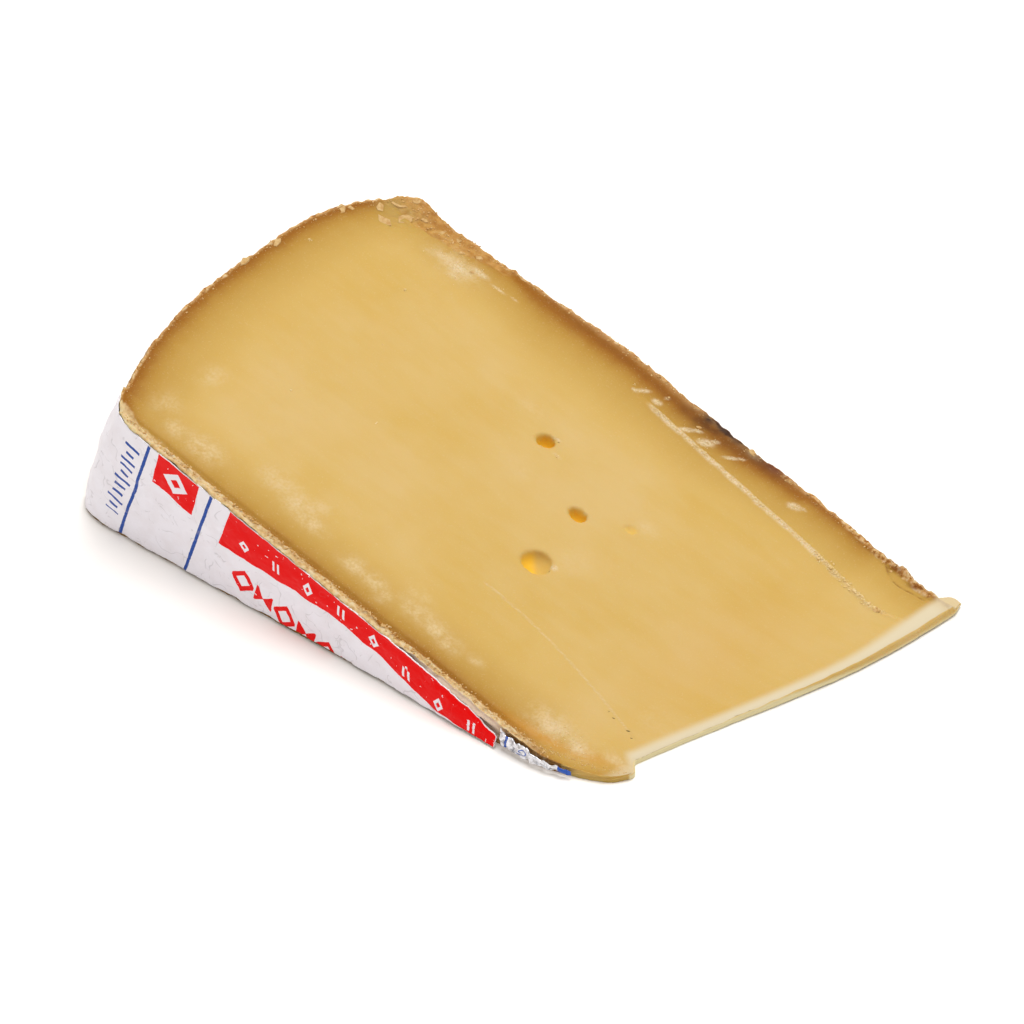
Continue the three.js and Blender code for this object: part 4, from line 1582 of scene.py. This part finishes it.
    def browning(self, x: Array, y: Array, distance: Array) -> Array:
        """Stretches the distance from the rind where the paste is less brown, and the other way.

        Args:
            x, y: Places, in the wedge's own millimetres.
            distance: Their distance from the rind.
        Returns:
            The distance that the paste's colour goes by.
        """
        bare = ease((y + 10.0) / 20.0)
        bare_shift = 1.8 * ease((x - 34.0) / 14.0) + 3.0 * ease((x - 54.0) / 8.0)
        bare_shift = bare_shift + 0.9 * ease((-22.0 - x) / 14.0)
        shift = mix(bare * bare_shift, 1.35, ease((-50.0 - x) / 9.0))
        distance = distance * (1.0 - 0.17 * bare * ease((x + 30.0) / 14.0) * ease((34.0 - x) / 14.0))
        return distance + shift * ease(distance / 1.2)

    def frost(self, x: Array, y: Array) -> Array:
        """White grains of broken paste: in spots, along the ledge and in the scratch.

        Args:
            x, y: Places, in the wedge's own millimetres.
        Returns:
            The cover, from 0 up.
        """
        ledge = bell(y - self.form.ledge_line(x) - 0.1 * grit(x, y, 1.5, 2), 0.8) * ease((x - 4.0) / 4.0)
        ledge = ledge * (0.9 + 0.4 * grit(x, y, 2.2, 2))
        ledge = ledge * (1.0 - 0.6 * ease((x - 48.0) / 8.0)) * self.off_tip(x, y)
        along = ease((x - SCRATCH_X[0]) / 2.0) * ease((SCRATCH_X[1] - 1.0 - x) / 4.0)
        scratch = bell(y - self.scratch_y(x) - 0.15, 0.3) * along
        return np.maximum(covered(FROST_SPOTS, x, y), np.maximum(ledge, 0.5 * scratch))

    def dry_and_painted_light_edge(self, x: Array, y: Array) -> Array:
        """The pale dry edge of the cut face along the tip, painted paler still for the light that shines
        through the thin tip.

        Args:
            x, y: Places, in the wedge's own millimetres.
        Returns:
            The cover, 0 to 1.
        """
        reach = 3.2 + 1.6 * ease((y - 10.0) / 25.0)
        at_lobe = mix(0.75, 0.4, ease((x - 56.0) / 4.0)) * ease((-31.0 - y) / 3.0)
        dry = ease((reach - (self.form.tip_x(y) - x)) / 2.6) * (1.0 - at_lobe)
        return dry * (1.0 - 0.3 * ease((y - 33.0) / 4.0))

    def painted_eye_light(self, x: Array, y: Array, deep: Array) -> Array:
        """The painted golden light and shade in the eyes: less on the widest one's lit side and in the pit.

        Args:
            x, y: Places, in the wedge's own millimetres.
            deep: How deep in an eye each place is.
        Returns:
            The strength, 0 to 1.
        """
        *_, wide, pit = self.form.eyes
        lit_side = ease(((x - wide.x) * 0.74 + (y - wide.y) * 0.67 + 1.2) / 1.6)
        deep = deep * (1.0 - 0.8 * lit_side * (np.hypot(x - wide.x, y - wide.y) < 4.5))
        return deep * np.where(np.hypot(x - pit.x, y - pit.y) < 2.6, 0.3, 1.0)

    def crust(self, x: Array, y: Array) -> Array:
        """The dry crust at the face's edge, wide and narrow by turns.

        Args:
            x, y: Places, in the wedge's own millimetres.
        Returns:
            The cover, 0 to 1.
        """
        from_edge = np.minimum(self.form.bare_edge(x) - y, x - self.form.heel_x(y, 1.0))
        wide = 0.7 + 0.5 * grit(x, y, 2.6, 3) + 0.8 * ease((x - 46.0) / 10.0) * ease((76.0 - x) / 3.0)
        cover = ease((np.maximum(0.2, wide) - from_edge) / 0.35) * (1.0 - 0.5 * corner_mask(x, y))
        return cover * ease((75.5 - x) / 2.0)

    def layers(self, walls: Array, top: Array, foot: Array, rings: list[Array],
               deep: Array) -> dict[str, Array]:
        """The values on the vertices that the materials read.

        Args:
            walls, top, foot: The vertices in that order.
            rings: The walls' rings in plan.
            deep: How deep in an eye each vertex of the upper face is.
        Returns:
            An array for each layer.
        """
        form, n = self.form, len(rings[0])
        points = np.concatenate([walls, top, foot])
        x, y, z = points.T
        on_wall = np.arange(len(points)) < len(walls)
        side = np.tile(self.sides(), len(walls) // n)
        on_tip = np.zeros(len(points), bool)
        on_tip[: len(walls)] = side == Side.TIP.value
        upper = np.concatenate([np.zeros(len(walls)), np.ones(len(top)), np.zeros(len(foot))])
        upper[len(walls) - n: len(walls)] = 1.0
        distance = np.concatenate([
            np.where(side == Side.TIP.value, 20.0, np.where(walls[:, 0] > LOBE_X, 13.0, 0.0)),
            self.rind_distance(rings[-1], top[:, 0], top[:, 1]),
            self.rind_distance(rings[0], foot[:, 0], foot[:, 1]),
        ])
        distance = self.browning(x, y, distance)
        wall_share = np.clip(z / np.maximum(form.cut_plane(x, y), 0.1), 0.0, 1.0)
        # Tip: on its wall a paler lip, partly a painted highlight; on the face the pale dry edge, partly
        # painted light shining through; the bare side's thin flap is painted pale the same way.
        tip = np.where(on_tip, 0.95 * ease((wall_share - 0.8) / 0.14), self.dry_and_painted_light_edge(x, y))
        tip = np.where(on_wall & ~on_tip, 0.6 * ((x > FLAP_X) & (y > 0.0)), tip)
        eye = np.zeros(len(x))
        # Painted golden light and shade in the eyes.
        eye[len(walls): len(walls) + len(top)] = self.painted_eye_light(top[:, 0], top[:, 1], deep)
        burnt = bell(off_line(BURNT_LINE, x, y) + 0.35 * grit(x, y, 2.4, 3), 0.9) * ease((y - 38.0) / 2.0)
        crack = bell(off_line(END_CRACK, x, y) + 0.1 * grit(x, y, 0.9, 2), 0.12)
        crack = crack * 0.5 * ease((grit(x, y, 1.7, 2) + 0.35) / 0.5)
        label_edge = rings[-1][: self.along + 1]
        near = y - np.interp(x, label_edge[:, 0], label_edge[:, 1])
        chalk = ease((2.7 - near + 0.5 * grit(x, y, 1.8, 3)) / 0.5) * ease((-44.0 - x) / 8.0) * (y < -38.0)
        # Painted glow: the tip's wall is painted paler towards its foot, for light that shines through the
        # thin tip.
        painted_glow_top = mix(0.98, 0.5, ease((y + 5.0) / 25.0))
        band = 1.5 + 0.4 * ease((10.0 - x) / 20.0) - near + 0.25 * grit(x, y, 1.6, 3)
        band = ease(band / 0.45) * ease((49.0 - x) / 8.0)
        run_down = ease((wall_share - 0.62 + 0.22 * grit(x, 2.0 * z, 4.5, 3)) / 0.2)
        stain = np.minimum(0.95, covered(STAIN_SPOTS, x, y) * (1.0 + 0.5 * grit(x, y, 1.6, 3)))
        # The bared rind over the label's end: pale pink, partly painted light against the crust's shade.
        bared = ease((x - 5.0) / 15.0) * ease((40.0 - x) / 4.0) * (y < form.label_y + 1.5) * (z > 1.0)
        return {
            "rind_mm": distance,
            "frost": self.frost(x, y) * upper,
            "bloom": covered(BLOOM_SPOTS, x, y) * upper,
            "band": band * upper,
            "corner": 0.85 * corner_mask(x, y) * upper,
            "olive": covered(OLIVE_SPOTS, x, y) * upper,
            "russet": np.minimum(1.0, covered(RUSSET_SPOTS, x, y)) * upper,
            "pale": Spot(8.0, 2.0, 30.0, 14.0, 0.6).mask(x, y),
            "stain": stain * np.where(on_wall, run_down, 1.0),
            "mould": covered(MOULD_SPOTS, x, y) * upper,
            "tip": tip,
            "eye": eye,
            "amber": np.minimum(1.0, covered(AMBER_SPOTS, x, y)),
            "chalk": 0.75 * chalk * upper,
            "burnt": 0.6 * burnt * upper,
            "painted_glow": 0.95 * on_tip * ease((painted_glow_top - wall_share) / 0.45),
            "crust": self.crust(x, y) * upper,
            "crack": crack * upper,
            "pink_and_painted_light": bared,
        }


@dataclass(frozen=True)
class Folds:
    """Sharp folds in a sheet: the angle and the size in mm of each set, and how they wander."""

    sets: tuple[tuple[float, float], ...]
    total: float
    shift: float
    bend: float
    bend_size: float

    def height(self, x: Array, z: Array) -> Array:
        """Facets between the folds, from 0 to about 1.

        Args:
            x, z: Places along and up the sheet.
        Returns:
            The height at each place.
        """
        found = 0.0
        for k, (turn, size) in enumerate(self.sets):
            run = (x * math.cos(turn) + z * math.sin(turn)) / size + self.shift * k
            bend = run + self.bend * hills(x / self.bend_size + k, z / self.bend_size)
            found = found + np.abs((bend % 1.0) - 0.5) * 2.0 * size / self.total
        return found


@dataclass
class Sheet:
    """A thin closed skin that follows the labelled wall."""

    columns: int
    rows: int
    folds: Folds
    gap: float = 0.35
    thick: float = 0.22
    form: WedgeForm = FORM

    def path(self, travel: Array, share: Array) -> tuple[Array, Array]:
        """Plan position of the wall for a travel along it and a share of its height."""
        raise NotImplementedError

    def on_wall(self, travel: Array, height: Array, out: Array) -> Array:
        """Points off the wall.

        Args:
            travel: Places along the path, from 0 to 1.
            height: Heights in millimetres.
            out: Distances from the wall.
        Returns:
            The points, with X, Y and Z last.
        """
        top_x, top_y = self.path(travel, np.ones_like(travel))
        share = np.clip(height / self.form.cut_plane(top_x, top_y), 0.0, 1.0)
        step = 0.004
        x0, y0 = self.path(np.maximum(0.0, travel - step), share)
        x1, y1 = self.path(np.minimum(1.0, travel + step), share)
        long = np.hypot(x1 - x0, y1 - y0)
        x, y = self.path(travel, share)
        return np.stack([x + out * (y1 - y0) / long, y - out * (x1 - x0) / long, height], -1)

    def grids(self) -> tuple[Array, Array]:
        """Even travel and up values for the sheet's vertices."""
        steps = (np.linspace(0.0, 1.0, count + 1) for count in (self.columns, self.rows))
        return np.meshgrid(*steps, indexing="ij")

    def closed(self, outer: Array, inner: Array) -> tuple[Array, Array]:
        """Joins an outer and an inner face into one closed skin.

        Args:
            outer, inner: Grids of points.
        Returns:
            The vertices and the quads.
        """
        count = outer.shape[0] * outer.shape[1]
        out = np.arange(count).reshape(outer.shape[:2])
        rim = np.concatenate([out[:-1, 0], out[-1, :-1], out[:0:-1, -1], out[0, :0:-1]])
        after = np.roll(rim, -1)
        edge = np.stack([rim, rim + count, after + count, after], 1)
        faces = np.concatenate([quads(out), quads(out + count)[:, ::-1], edge])
        return np.concatenate([outer.reshape(-1, 3), inner.reshape(-1, 3)]), faces


@dataclass
class PaperLabel(Sheet):
    """The paper label: from just round the heel's corner to where it is torn off near the tip."""

    columns: int = 430
    rows: int = 96
    folds: Folds = Folds(((0.4, 9.0), (1.3, 7.0), (2.3, 5.5), (2.8, 3.8)), 25.0, 0.41, 0.3, 5.0)
    turn: float = 0.05
    wrap: float = 0.05
    end_x: float = 37.5
    low: float = 0.6
    under_edge: float = 0.17
    band_edge: tuple[tuple[float, float], ...] = (
        (-30.7, 12.0), (-21.0, 11.2), (-11.0, 10.5), (-1.2, 9.3),
        (8.5, 6.6), (15.7, 3.8), (22.9, 1.2), (34.2, 0.3), (38.0, 0.1),
    )

    def path(self, travel: Array, share: Array) -> tuple[Array, Array]:
        """Plan position of the wall under the label.

        Args:
            travel: From the label's start, 0, to its end, 1.
            share: Height as a share of the wedge's height there.
        Returns:
            X and Y in millimetres.
        """
        heel = self.form.heel_point(self.wrap * (1.0 - np.minimum(travel, self.turn) / self.turn), share)
        reach = self.form.label_reach(self.end_x, share)
        flat = self.form.label_point(reach * np.maximum(0.0, travel - self.turn) / (1.0 - self.turn), share)
        on_heel = travel < self.turn
        return np.where(on_heel, heel[0], flat[0]), np.where(on_heel, heel[1], flat[1])

    def build(self) -> bpy.types.Object:
        """Builds the sheet with its print and dresses it.

        Returns:
            The piece.
        """
        travel, up = self.grids()
        torn = 0.008 * (travel - 0.5) * grit(up * 26.0, travel, 1.7, 3) * (travel > 0.9)
        travel = np.clip(travel + torn, 0.0, 1.0)
        edge_x, edge_y = self.path(travel, np.ones_like(travel))
        bared = 0.55 * ease((edge_x - 14.0) / 14.0)
        tear = 1.5 * np.clip((edge_x - 24.0) / (self.end_x - 24.0), 0.0, 1.0) ** 2
        ragged = 0.1 * grit(edge_x, 0.0 * edge_x, 1.6, 4) - 0.05
        ragged = ragged * (1.0 + 1.5 * ease((edge_x - 12.0) / 14.0))
        under = self.under_edge * mix(0.3, 1.0, ease((edge_x + 56.0) / 12.0))
        high = self.form.cut_plane(edge_x, edge_y) - under - bared - tear + ragged
        low = self.low + 0.12 * grit(edge_x, 0.0 * edge_x + 9.0, 2.2, 3)
        height = mix(low, high, up)
        tight = 1.0 - 0.8 * ease((up - 0.75) / 0.2) * ease((37.0 - edge_x) / 4.0)
        wrinkle = 0.16 * (1.0 + hills(edge_x / 3.1, height / 2.4)) + 0.4 * self.folds.height(edge_x, height)
        flare = 0.9 * (1.0 - up) * ease((edge_x - 8.0) / 25.0)
        creases = 0.12 * np.abs(grit(edge_x + 0.3 * height, height, 3.1, 3))
        creases = creases + 0.03 * grit(edge_x, height, 0.7, 2)
        out = self.gap + (wrinkle + creases) * tight + flare
        inner = self.on_wall(travel, height, out)
        outer = self.on_wall(travel, height, out + self.thick)
        points, faces = self.closed(outer, inner)
        count = outer.shape[0] * outer.shape[1]
        steps = np.hypot(np.diff(outer[..., 0], axis=0), np.diff(outer[..., 1], axis=0))
        length = np.concatenate([np.zeros((1, self.rows + 1)), np.cumsum(steps, axis=0)])
        zero = [np.interp(0.0, outer[:, row, 0], length[:, row]) for row in range(self.rows + 1)]
        along = length - np.array(zero)
        above = outer[..., 2] - np.interp(along, *np.array(self.band_edge).T)
        from_edge = np.minimum(high - height, (1.0 - travel) * 100.0)
        layers = {
            name: np.concatenate([np.broadcast_to(front, outer.shape[:2]).ravel(), np.full(count, back)])
            for name, front, back in (
                ("print_x", along, FAR_OFF), ("print_z", outer[..., 2], FAR_OFF),
                ("band_mm", above, -FAR_OFF), ("edge_mm", from_edge, 5.0), ("inside", 0.0, 1.0),
            )
        }
        return mesh_piece("paper_label", points, faces.tolist(), [PaperLook().material()], layers)


@dataclass
class FoilEnd(Sheet):
    """The last scrap of label by the tip: crumpled foil standing off the rind."""

    columns: int = 96
    rows: int = 20
    folds: Folds = Folds(((0.3, 2.6), (1.5, 2.1), (2.4, 1.7), (0.9, 1.2), (2.9, 0.9)), 8.5, 0.37, 0.35, 2.3)
    thick: float = 0.16
    start_x: float = 38.4
    end_x: float = 53.2
    low: float = 0.8
    tall: float = 4.0
    taper: float = 0.85

    def path(self, travel: Array, share: Array) -> tuple[Array, Array]:
        """Plan position of the wall under the scrap."""
        x = mix(self.start_x, self.end_x, travel)
        return self.form.label_point(self.form.label_reach(x, share), share)

    def build(self) -> bpy.types.Object:
        """Builds the scrap and dresses it.

        Returns:
            The piece.
        """
        travel, up = self.grids()
        edge_x, edge_y = self.path(travel, np.ones_like(travel))
        room = self.form.cut_plane(edge_x, edge_y) - self.low
        tall = np.minimum(room, self.tall) * mix(1.0, self.taper, travel)
        tall = tall * (1.0 + 0.16 * grit(edge_x, 0.0 * edge_x, 1.5, 3))
        height = self.low + up * tall + 0.25 * (1.0 - up) * grit(edge_x, 0.0 * edge_x + 5.0, 1.2, 2)
        fold = 0.8 * self.folds.height(edge_x, height)
        roll = 0.5 * np.sin(np.pi * up) * (0.5 + 0.5 * hills(edge_x / 2.0, 0.0 * up))
        out = self.gap + fold + 0.4 * roll
        inner = self.on_wall(travel, height, out)
        outer = self.on_wall(travel, height, out + self.thick)
        points, faces = self.closed(outer, inner)
        ring = 0.13 - np.abs(np.hypot(edge_x - 43.6, (height - 2.0) / 0.75) - 0.75)
        left = 0.35 - np.abs(edge_x - 39.2 - 0.2 * height)
        right = np.minimum(edge_x - 50.6 + 0.5 * hills(edge_x, height), 1.0)
        dash = 0.14 - np.abs(height - 1.15)
        dash = np.minimum(dash, 0.6 - np.abs(edge_x - 42.6))
        blue = np.maximum(np.maximum(ring, left), np.maximum(right, dash))
        layers = {"blue_mm": np.tile(blue.ravel(), 2)}
        look = FoilLook().material()
        return mesh_piece("foil_end", points, faces.tolist(), [look], layers, smooth=False)


@dataclass(frozen=True)
class Trail:
    """Where a kind of crumb lies, round a line or a spot, and its smallest and largest radius."""

    places: tuple[tuple[float, float], ...]
    count: int
    spread: float
    small: float
    large: float


@dataclass
class Crumbs:
    """Loose crumbs and grains as one joined mesh of small uneven lumps."""

    name: str
    look: CrumbLook
    trails: tuple[Trail, ...]
    seed: int
    sunk: float = 0.42  # the share of a crumb's height that lies in the paste
    body: CheeseBody = field(default_factory=CheeseBody)

    def lump(self) -> tuple[Array, list[tuple[int, int, int]]]:
        """An icosahedron of radius 1.

        Returns:
            Its corners and its faces.
        """
        g = (1.0 + math.sqrt(5.0)) / 2.0
        corners = [(-1, g, 0), (1, g, 0), (-1, -g, 0), (1, -g, 0), (0, -1, g), (0, 1, g),
                   (0, -1, -g), (0, 1, -g), (g, 0, -1), (g, 0, 1), (-g, 0, -1), (-g, 0, 1)]
        faces = [(0, 11, 5), (0, 5, 1), (0, 1, 7), (0, 7, 10), (0, 10, 11), (1, 5, 9), (5, 11, 4),
                 (11, 10, 2), (10, 7, 6), (7, 1, 8), (3, 9, 4), (3, 4, 2), (3, 2, 6), (3, 6, 8),
                 (3, 8, 9), (4, 9, 5), (2, 4, 11), (6, 2, 10), (8, 6, 7), (9, 8, 1)]
        return np.array(corners) / math.hypot(1.0, g), faces

    def build(self) -> bpy.types.Object:
        """Scatters the crumbs on the cut face and dresses them.

        Returns:
            The piece.
        """
        draw = np.random.default_rng(self.seed)
        form, shape, lump_faces = self.body.form, *self.lump()
        points, faces = [], []
        for trail in self.trails:
            line = np.array(trail.places, float)
            for _ in range(trail.count):
                at = draw.uniform(0, len(line) - 1) if len(line) > 1 else 0.0
                k = min(int(at), max(0, len(line) - 2))
                base = line[k] if len(line) == 1 else line[k] + (line[k + 1] - line[k]) * (at - k)
                x, y = base + draw.normal(0.0, trail.spread, 2)
                if not form.covers(x, y) or covered(STAIN_SPOTS[:2], x, y) > 0.5:
                    continue
                size = trail.small + (trail.large - trail.small) * draw.random() ** 2.5
                stretch = size * draw.uniform(0.55, 1.25, 3) * (1.0, 1.0, 0.7)
                uneven = 1.0 + draw.uniform(-0.25, 0.25, (len(shape), 1))
                turn = draw.uniform(0.0, math.tau)
                one = (shape * uneven * stretch) @ spun(turn).T
                z = float(self.body.face_height(x, y))
                one = one + (x, y, z + stretch[2] * (1.0 - 2.0 * self.sunk))
                faces += [tuple(len(points) * len(shape) + i for i in f) for f in lump_faces]
                points.append(one)
        return mesh_piece(self.name, np.concatenate(points), faces, [self.look.material()], smooth=False)


@dataclass(frozen=True)
class Chip:
    """One thin flake: its place, its size, how it is turned and how it stands, in mm and degrees."""

    x: float
    y: float
    long: float
    wide: float
    turn: float
    tilt: float = 6.0


CHIPS = (
    Chip(-64.9, 29.0, 2.5, 1.5, -20.0, 10.0), Chip(-64.0, 30.6, 1.2, 0.8, 30.0),
    Chip(-57.8, 33.0, 2.9, 1.7, 5.0), Chip(-55.4, 36.9, 3.2, 2.3, 75.0, 12.0),
    Chip(-58.6, 37.9, 3.0, 1.9, 30.0, -8.0), Chip(-60.6, 35.2, 2.2, 1.4, -35.0),
    Chip(-56.6, 41.3, 2.0, 1.2, 60.0, 14.0), Chip(-53.2, 39.6, 1.5, 1.0, 10.0),
    Chip(-48.6, 39.6, 2.2, 0.8, 80.0, 20.0), Chip(-45.6, 40.6, 1.2, 0.7, 20.0, 12.0),
    Chip(-42.4, 38.4, 1.4, 0.7, 50.0, 9.0), Chip(-39.5, 40.0, 1.8, 1.1, 65.0, 16.0),
    Chip(-66.9, 12.5, 2.8, 1.5, -70.0, 10.0), Chip(-67.4, 4.2, 2.4, 1.2, -75.0, 12.0),
    Chip(-37.9, 36.0, 1.1, 0.6, 25.0), Chip(15.6, 39.8, 1.0, 0.6, 40.0),
    Chip(68.2, 27.3, 1.9, 1.3, -20.0, 14.0), Chip(26.6, 42.6, 2.4, 1.1, -8.0, 8.0),
)


@dataclass
class Flakes:
    """Thin translucent flakes of crust and dried paste that the knife lifted."""

    thick: float = 0.1
    sunk: float = 0.02
    corners: int = 7
    rings: tuple[float, ...] = (1.0, 0.94, 0.6, 0.25)
    seed: int = 5
    body: CheeseBody = field(default_factory=CheeseBody)

    def chip(self, chip: Chip, draw: np.random.Generator) -> tuple[Array, list[list[int]]]:
        """One flake.

        Args:
            chip: Its size and place.
            draw: Source of its uneven outline.
        Returns:
            Its vertices in the wedge's own millimetres and its faces.
        """
        n = self.corners
        angles = (np.arange(n) + draw.uniform(-0.3, 0.3, n)) * math.tau / n
        reach = draw.uniform(0.7, 1.35, n)
        rows = []
        for k, share in enumerate(self.rings):
            height = self.thick * (0.55, 1.0, 1.1, 1.05)[k] + draw.uniform(-0.05, 0.05, n)
            rows.append(np.column_stack([
                0.5 * chip.long * share * reach * np.cos(angles),
                0.5 * chip.wide * share * reach * np.sin(angles), height,
            ]))
        under = rows[0] * (1.0, 1.0, 0.0) - (0.0, 0.0, 0.25)
        points = np.concatenate([under, *rows, [[0.0, 0.0, 1.05 * self.thick]]])
        cos, sin = math.cos(math.radians(chip.tilt)), math.sin(math.radians(chip.tilt))
        lean = np.array([[1.0, 0.0, 0.0], [0.0, cos, -sin], [0.0, sin, cos]])
        points = points @ (spun(math.radians(chip.turn)) @ lean).T
        plane = self.body.form.cut_plane
        slope = float(plane(chip.x + 1.0, chip.y) - plane(chip.x, chip.y))
        ground = float(self.body.face_height(chip.x, chip.y))
        points[:, 2] += ground + slope * points[:, 0] - self.sunk
        points[:, :2] += (chip.x, chip.y)
        faces = [[k * n + i, k * n + (i + 1) % n, (k + 1) * n + (i + 1) % n, (k + 1) * n + i]
                 for k in range(len(self.rings)) for i in range(n)]
        last = len(self.rings) * n
        faces += [[last + i, last + (i + 1) % n, len(points) - 1] for i in range(n)]
        faces.append(list(range(n))[::-1])
        return points, faces

    def build(self) -> bpy.types.Object:
        """Builds all flakes as one mesh and dresses it.

        Returns:
            The piece.
        """
        draw = np.random.default_rng(self.seed)
        points, faces, first = [], [], 0
        for chip in CHIPS:
            one, own = self.chip(chip, draw)
            faces += [[first + i for i in face] for face in own]
            first += len(one)
            points.append(one)
        look = CrumbLook("flake", seen(208, 162, 102), seen(230, 194, 138)).material()
        return mesh_piece("flakes", np.concatenate(points), faces, [look], smooth=False)


@dataclass
class Studio:
    """The plain pale floor, the soft lights and the camera."""

    azimuth: float = 42.19
    elevation: float = 39.29
    roll: float = -1.85
    distance: float = 1.064
    target: tuple[float, float, float] = (5.607, -2.712, 12.0)
    sensor: float = 36.0
    focal_pixels: float = 5723.0
    picture: float = 1024.0
    floor_half: float = 3.0
    floor_gap: float = 0.00002
    sky: tuple[float, float, float, float] = (1.0, 0.92, 0.83, 1.0)
    sky_strength: float = 0.71
    box_place: tuple[float, float, float] = (0.04, 0.29, 1.30)
    box_size: float = 0.9
    box_power: float = 14.7

    def aim(self) -> Vector:
        """The point of the wedge that the camera and the lights look at, in the frame."""
        return Vector(to_frame(self.target).tolist())

    def floor(self) -> bpy.types.Object:
        """A wide flat floor just under the wedge.

        Returns:
            The floor.
        """
        corners = [(x * self.floor_half, y * self.floor_half, -self.floor_gap)
                   for x, y in ((-1, -1), (1, -1), (1, 1), (-1, 1))]
        mesh = bpy.data.meshes.new("floor")
        mesh.from_pydata(corners, [], [(0, 1, 2, 3)])
        mesh.materials.append(FloorLook().material())
        made = bpy.data.objects.new("floor", mesh)
        bpy.context.scene.collection.objects.link(made)
        return made

    def lamp(self, name: str, place: tuple[float, float, float], size: float, power: float) -> None:
        """A square soft light that looks at the wedge.

        Args:
            name: The lamp's name.
            place: Where it hangs, in metres.
            size: Its side.
            power: In watts.
        """
        data = bpy.data.lights.new(name, "AREA")
        data.shape, data.size, data.energy = "SQUARE", size, power
        made = bpy.data.objects.new(name, data)
        made.location = place
        made.rotation_mode = "QUATERNION"
        made.rotation_quaternion = (self.aim() - Vector(place)).to_track_quat("-Z", "Y")
        bpy.context.scene.collection.objects.link(made)

    def light(self) -> None:
        """Even white surroundings and a large soft box above and a little behind."""
        world = bpy.data.worlds.new("studio")
        world.use_nodes = True
        sky = world.node_tree.nodes["Background"].inputs
        sky["Color"].default_value, sky["Strength"].default_value = self.sky, self.sky_strength
        bpy.context.scene.world = world
        self.lamp("soft_box", self.box_place, self.box_size, self.box_power)

    def camera(self) -> None:
        """The camera at the picture's angle."""
        a, e, r = (math.radians(v) for v in (self.azimuth, self.elevation, self.roll))
        back = Vector((math.sin(a) * math.cos(e), -math.cos(a) * math.cos(e), math.sin(e)))
        level = Vector((math.cos(a), math.sin(a), 0.0))
        up = back.cross(level)
        right = level * math.cos(r) + up * math.sin(r)
        up = up * math.cos(r) - level * math.sin(r)
        data = bpy.data.cameras.new("camera")
        data.sensor_width = self.sensor
        data.lens = self.focal_pixels / self.picture * self.sensor
        data.clip_start, data.clip_end = 0.05, 20.0
        made = bpy.data.objects.new("camera", data)
        turn = Matrix((right, up, back)).transposed().to_4x4()
        made.matrix_world = Matrix.Translation(self.aim() + back * self.distance) @ turn
        bpy.context.scene.collection.objects.link(made)
        bpy.context.scene.camera = made

    def build(self) -> bpy.types.Object:
        """Sets up the studio and returns its floor.

        Returns:
            The floor.
        """
        bpy.context.scene.view_settings.view_transform = "Standard"
        self.light()
        self.camera()
        return self.floor()


def crumb_sets(form: WedgeForm) -> list[Crumbs]:
    """The crumbs on the cut face, by kind.

    Args:
        form: The wedge that they lie on.
    Returns:
        A piece for each kind.
    """
    ledge = tuple((x, float(form.ledge_line(x))) for x in range(6, 74, 4))
    spots = tuple(
        Trail(((s.x, s.y),), int(12 * s.long * s.wide * s.strength) + 4,
              0.5 * math.sqrt(s.long * s.wide), 0.04, 0.16)
        for s in FROST_SPOTS
    )
    pale = CrumbLook("pale_crumb", seen(238, 202, 136), seen(250, 224, 172))
    tan = CrumbLook("tan_crumb", seen(214, 164, 98), seen(240, 202, 146))
    band = tuple((x, form.label_y + 0.8) for x in range(-56, 50, 8))
    bare = tuple((x, float(form.bare_point((x + 56.8) / 134.0, 1.0)[1]) - 0.6) for x in range(-54, 72, 6))
    heel = tuple((float(form.heel_x(y, 1.0)) + 0.7, float(y)) for y in range(-38, 41, 6))
    near_end = ((40.0, -41.6), (46.0, -41.6), (50.0, -40.4), (56.0, -38.6), (62.0, -35.6))
    ledge_end = tuple((x, float(form.ledge_line(x))) for x in range(50, 74, 4))
    corner = ((-58.0, 39.5), (-50.0, 39.5), (-42.0, 40.5))
    grains = (
        (-63.1, 18.1), (-24.0, -6.9), (-36.5, 8.8), (-39.7, -13.3), (-43.1, 22.5), (7.0, 41.2), (1.1, 38.2),
    )
    return [
        Crumbs("pale_crumbs", pale, (
            Trail(ledge, 600, 0.28, 0.05, 0.24),
            Trail(ledge_end, 260, 0.55, 0.08, 0.34),
            Trail(near_end, 150, 0.4, 0.04, 0.14),
            Trail(((-40.0, 35.0),), 160, 2.0, 0.03, 0.12),
            Trail(((45.0, -36.3), (51.0, -37.0)), 200, 1.2, 0.03, 0.13),
            *(Trail((place,), 3, 0.12, 0.12, 0.26) for place in grains),
            *spots,
        ), 11),
        Crumbs("rind_crumbs", tan, (
            Trail(band, 1100, 0.45, 0.07, 0.3),
            Trail(bare, 420, 0.4, 0.06, 0.26),
            Trail(heel, 260, 0.35, 0.05, 0.22),
            Trail(near_end, 110, 0.35, 0.05, 0.16),
            Trail(corner, 160, 1.4, 0.06, 0.3),
        ), 23),
    ]


def stand(piece: bpy.types.Object, slot: str, *nodes: str) -> None:
    """Rides a piece on the wedge, hides the solids that it stands for and reports its faces.

    Args:
        piece: The new piece.
        slot: Not used.
        nodes: The solids that it stands for.
    """
    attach(piece, "root")
    if nodes:
        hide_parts(*nodes)
    log.info("%s: %d faces", piece.name, len(piece.data.polygons))


def main() -> None:
    """Builds the studio and the wedge, piece by piece."""
    logging.basicConfig(level=logging.INFO, format="%(message)s")
    floor = Studio().build()
    stand(CheeseBody().build(), "cheese", "cheese")
    stand(PaperLabel().build(), "label", "label")
    stand(FoilEnd().build(), "foil", "label_end")
    for crumbs in crumb_sets(FORM):
        stand(crumbs.build(), "cheese")
    stand(Flakes().build(), "cheese")


if __name__ == "__main__":
    main()
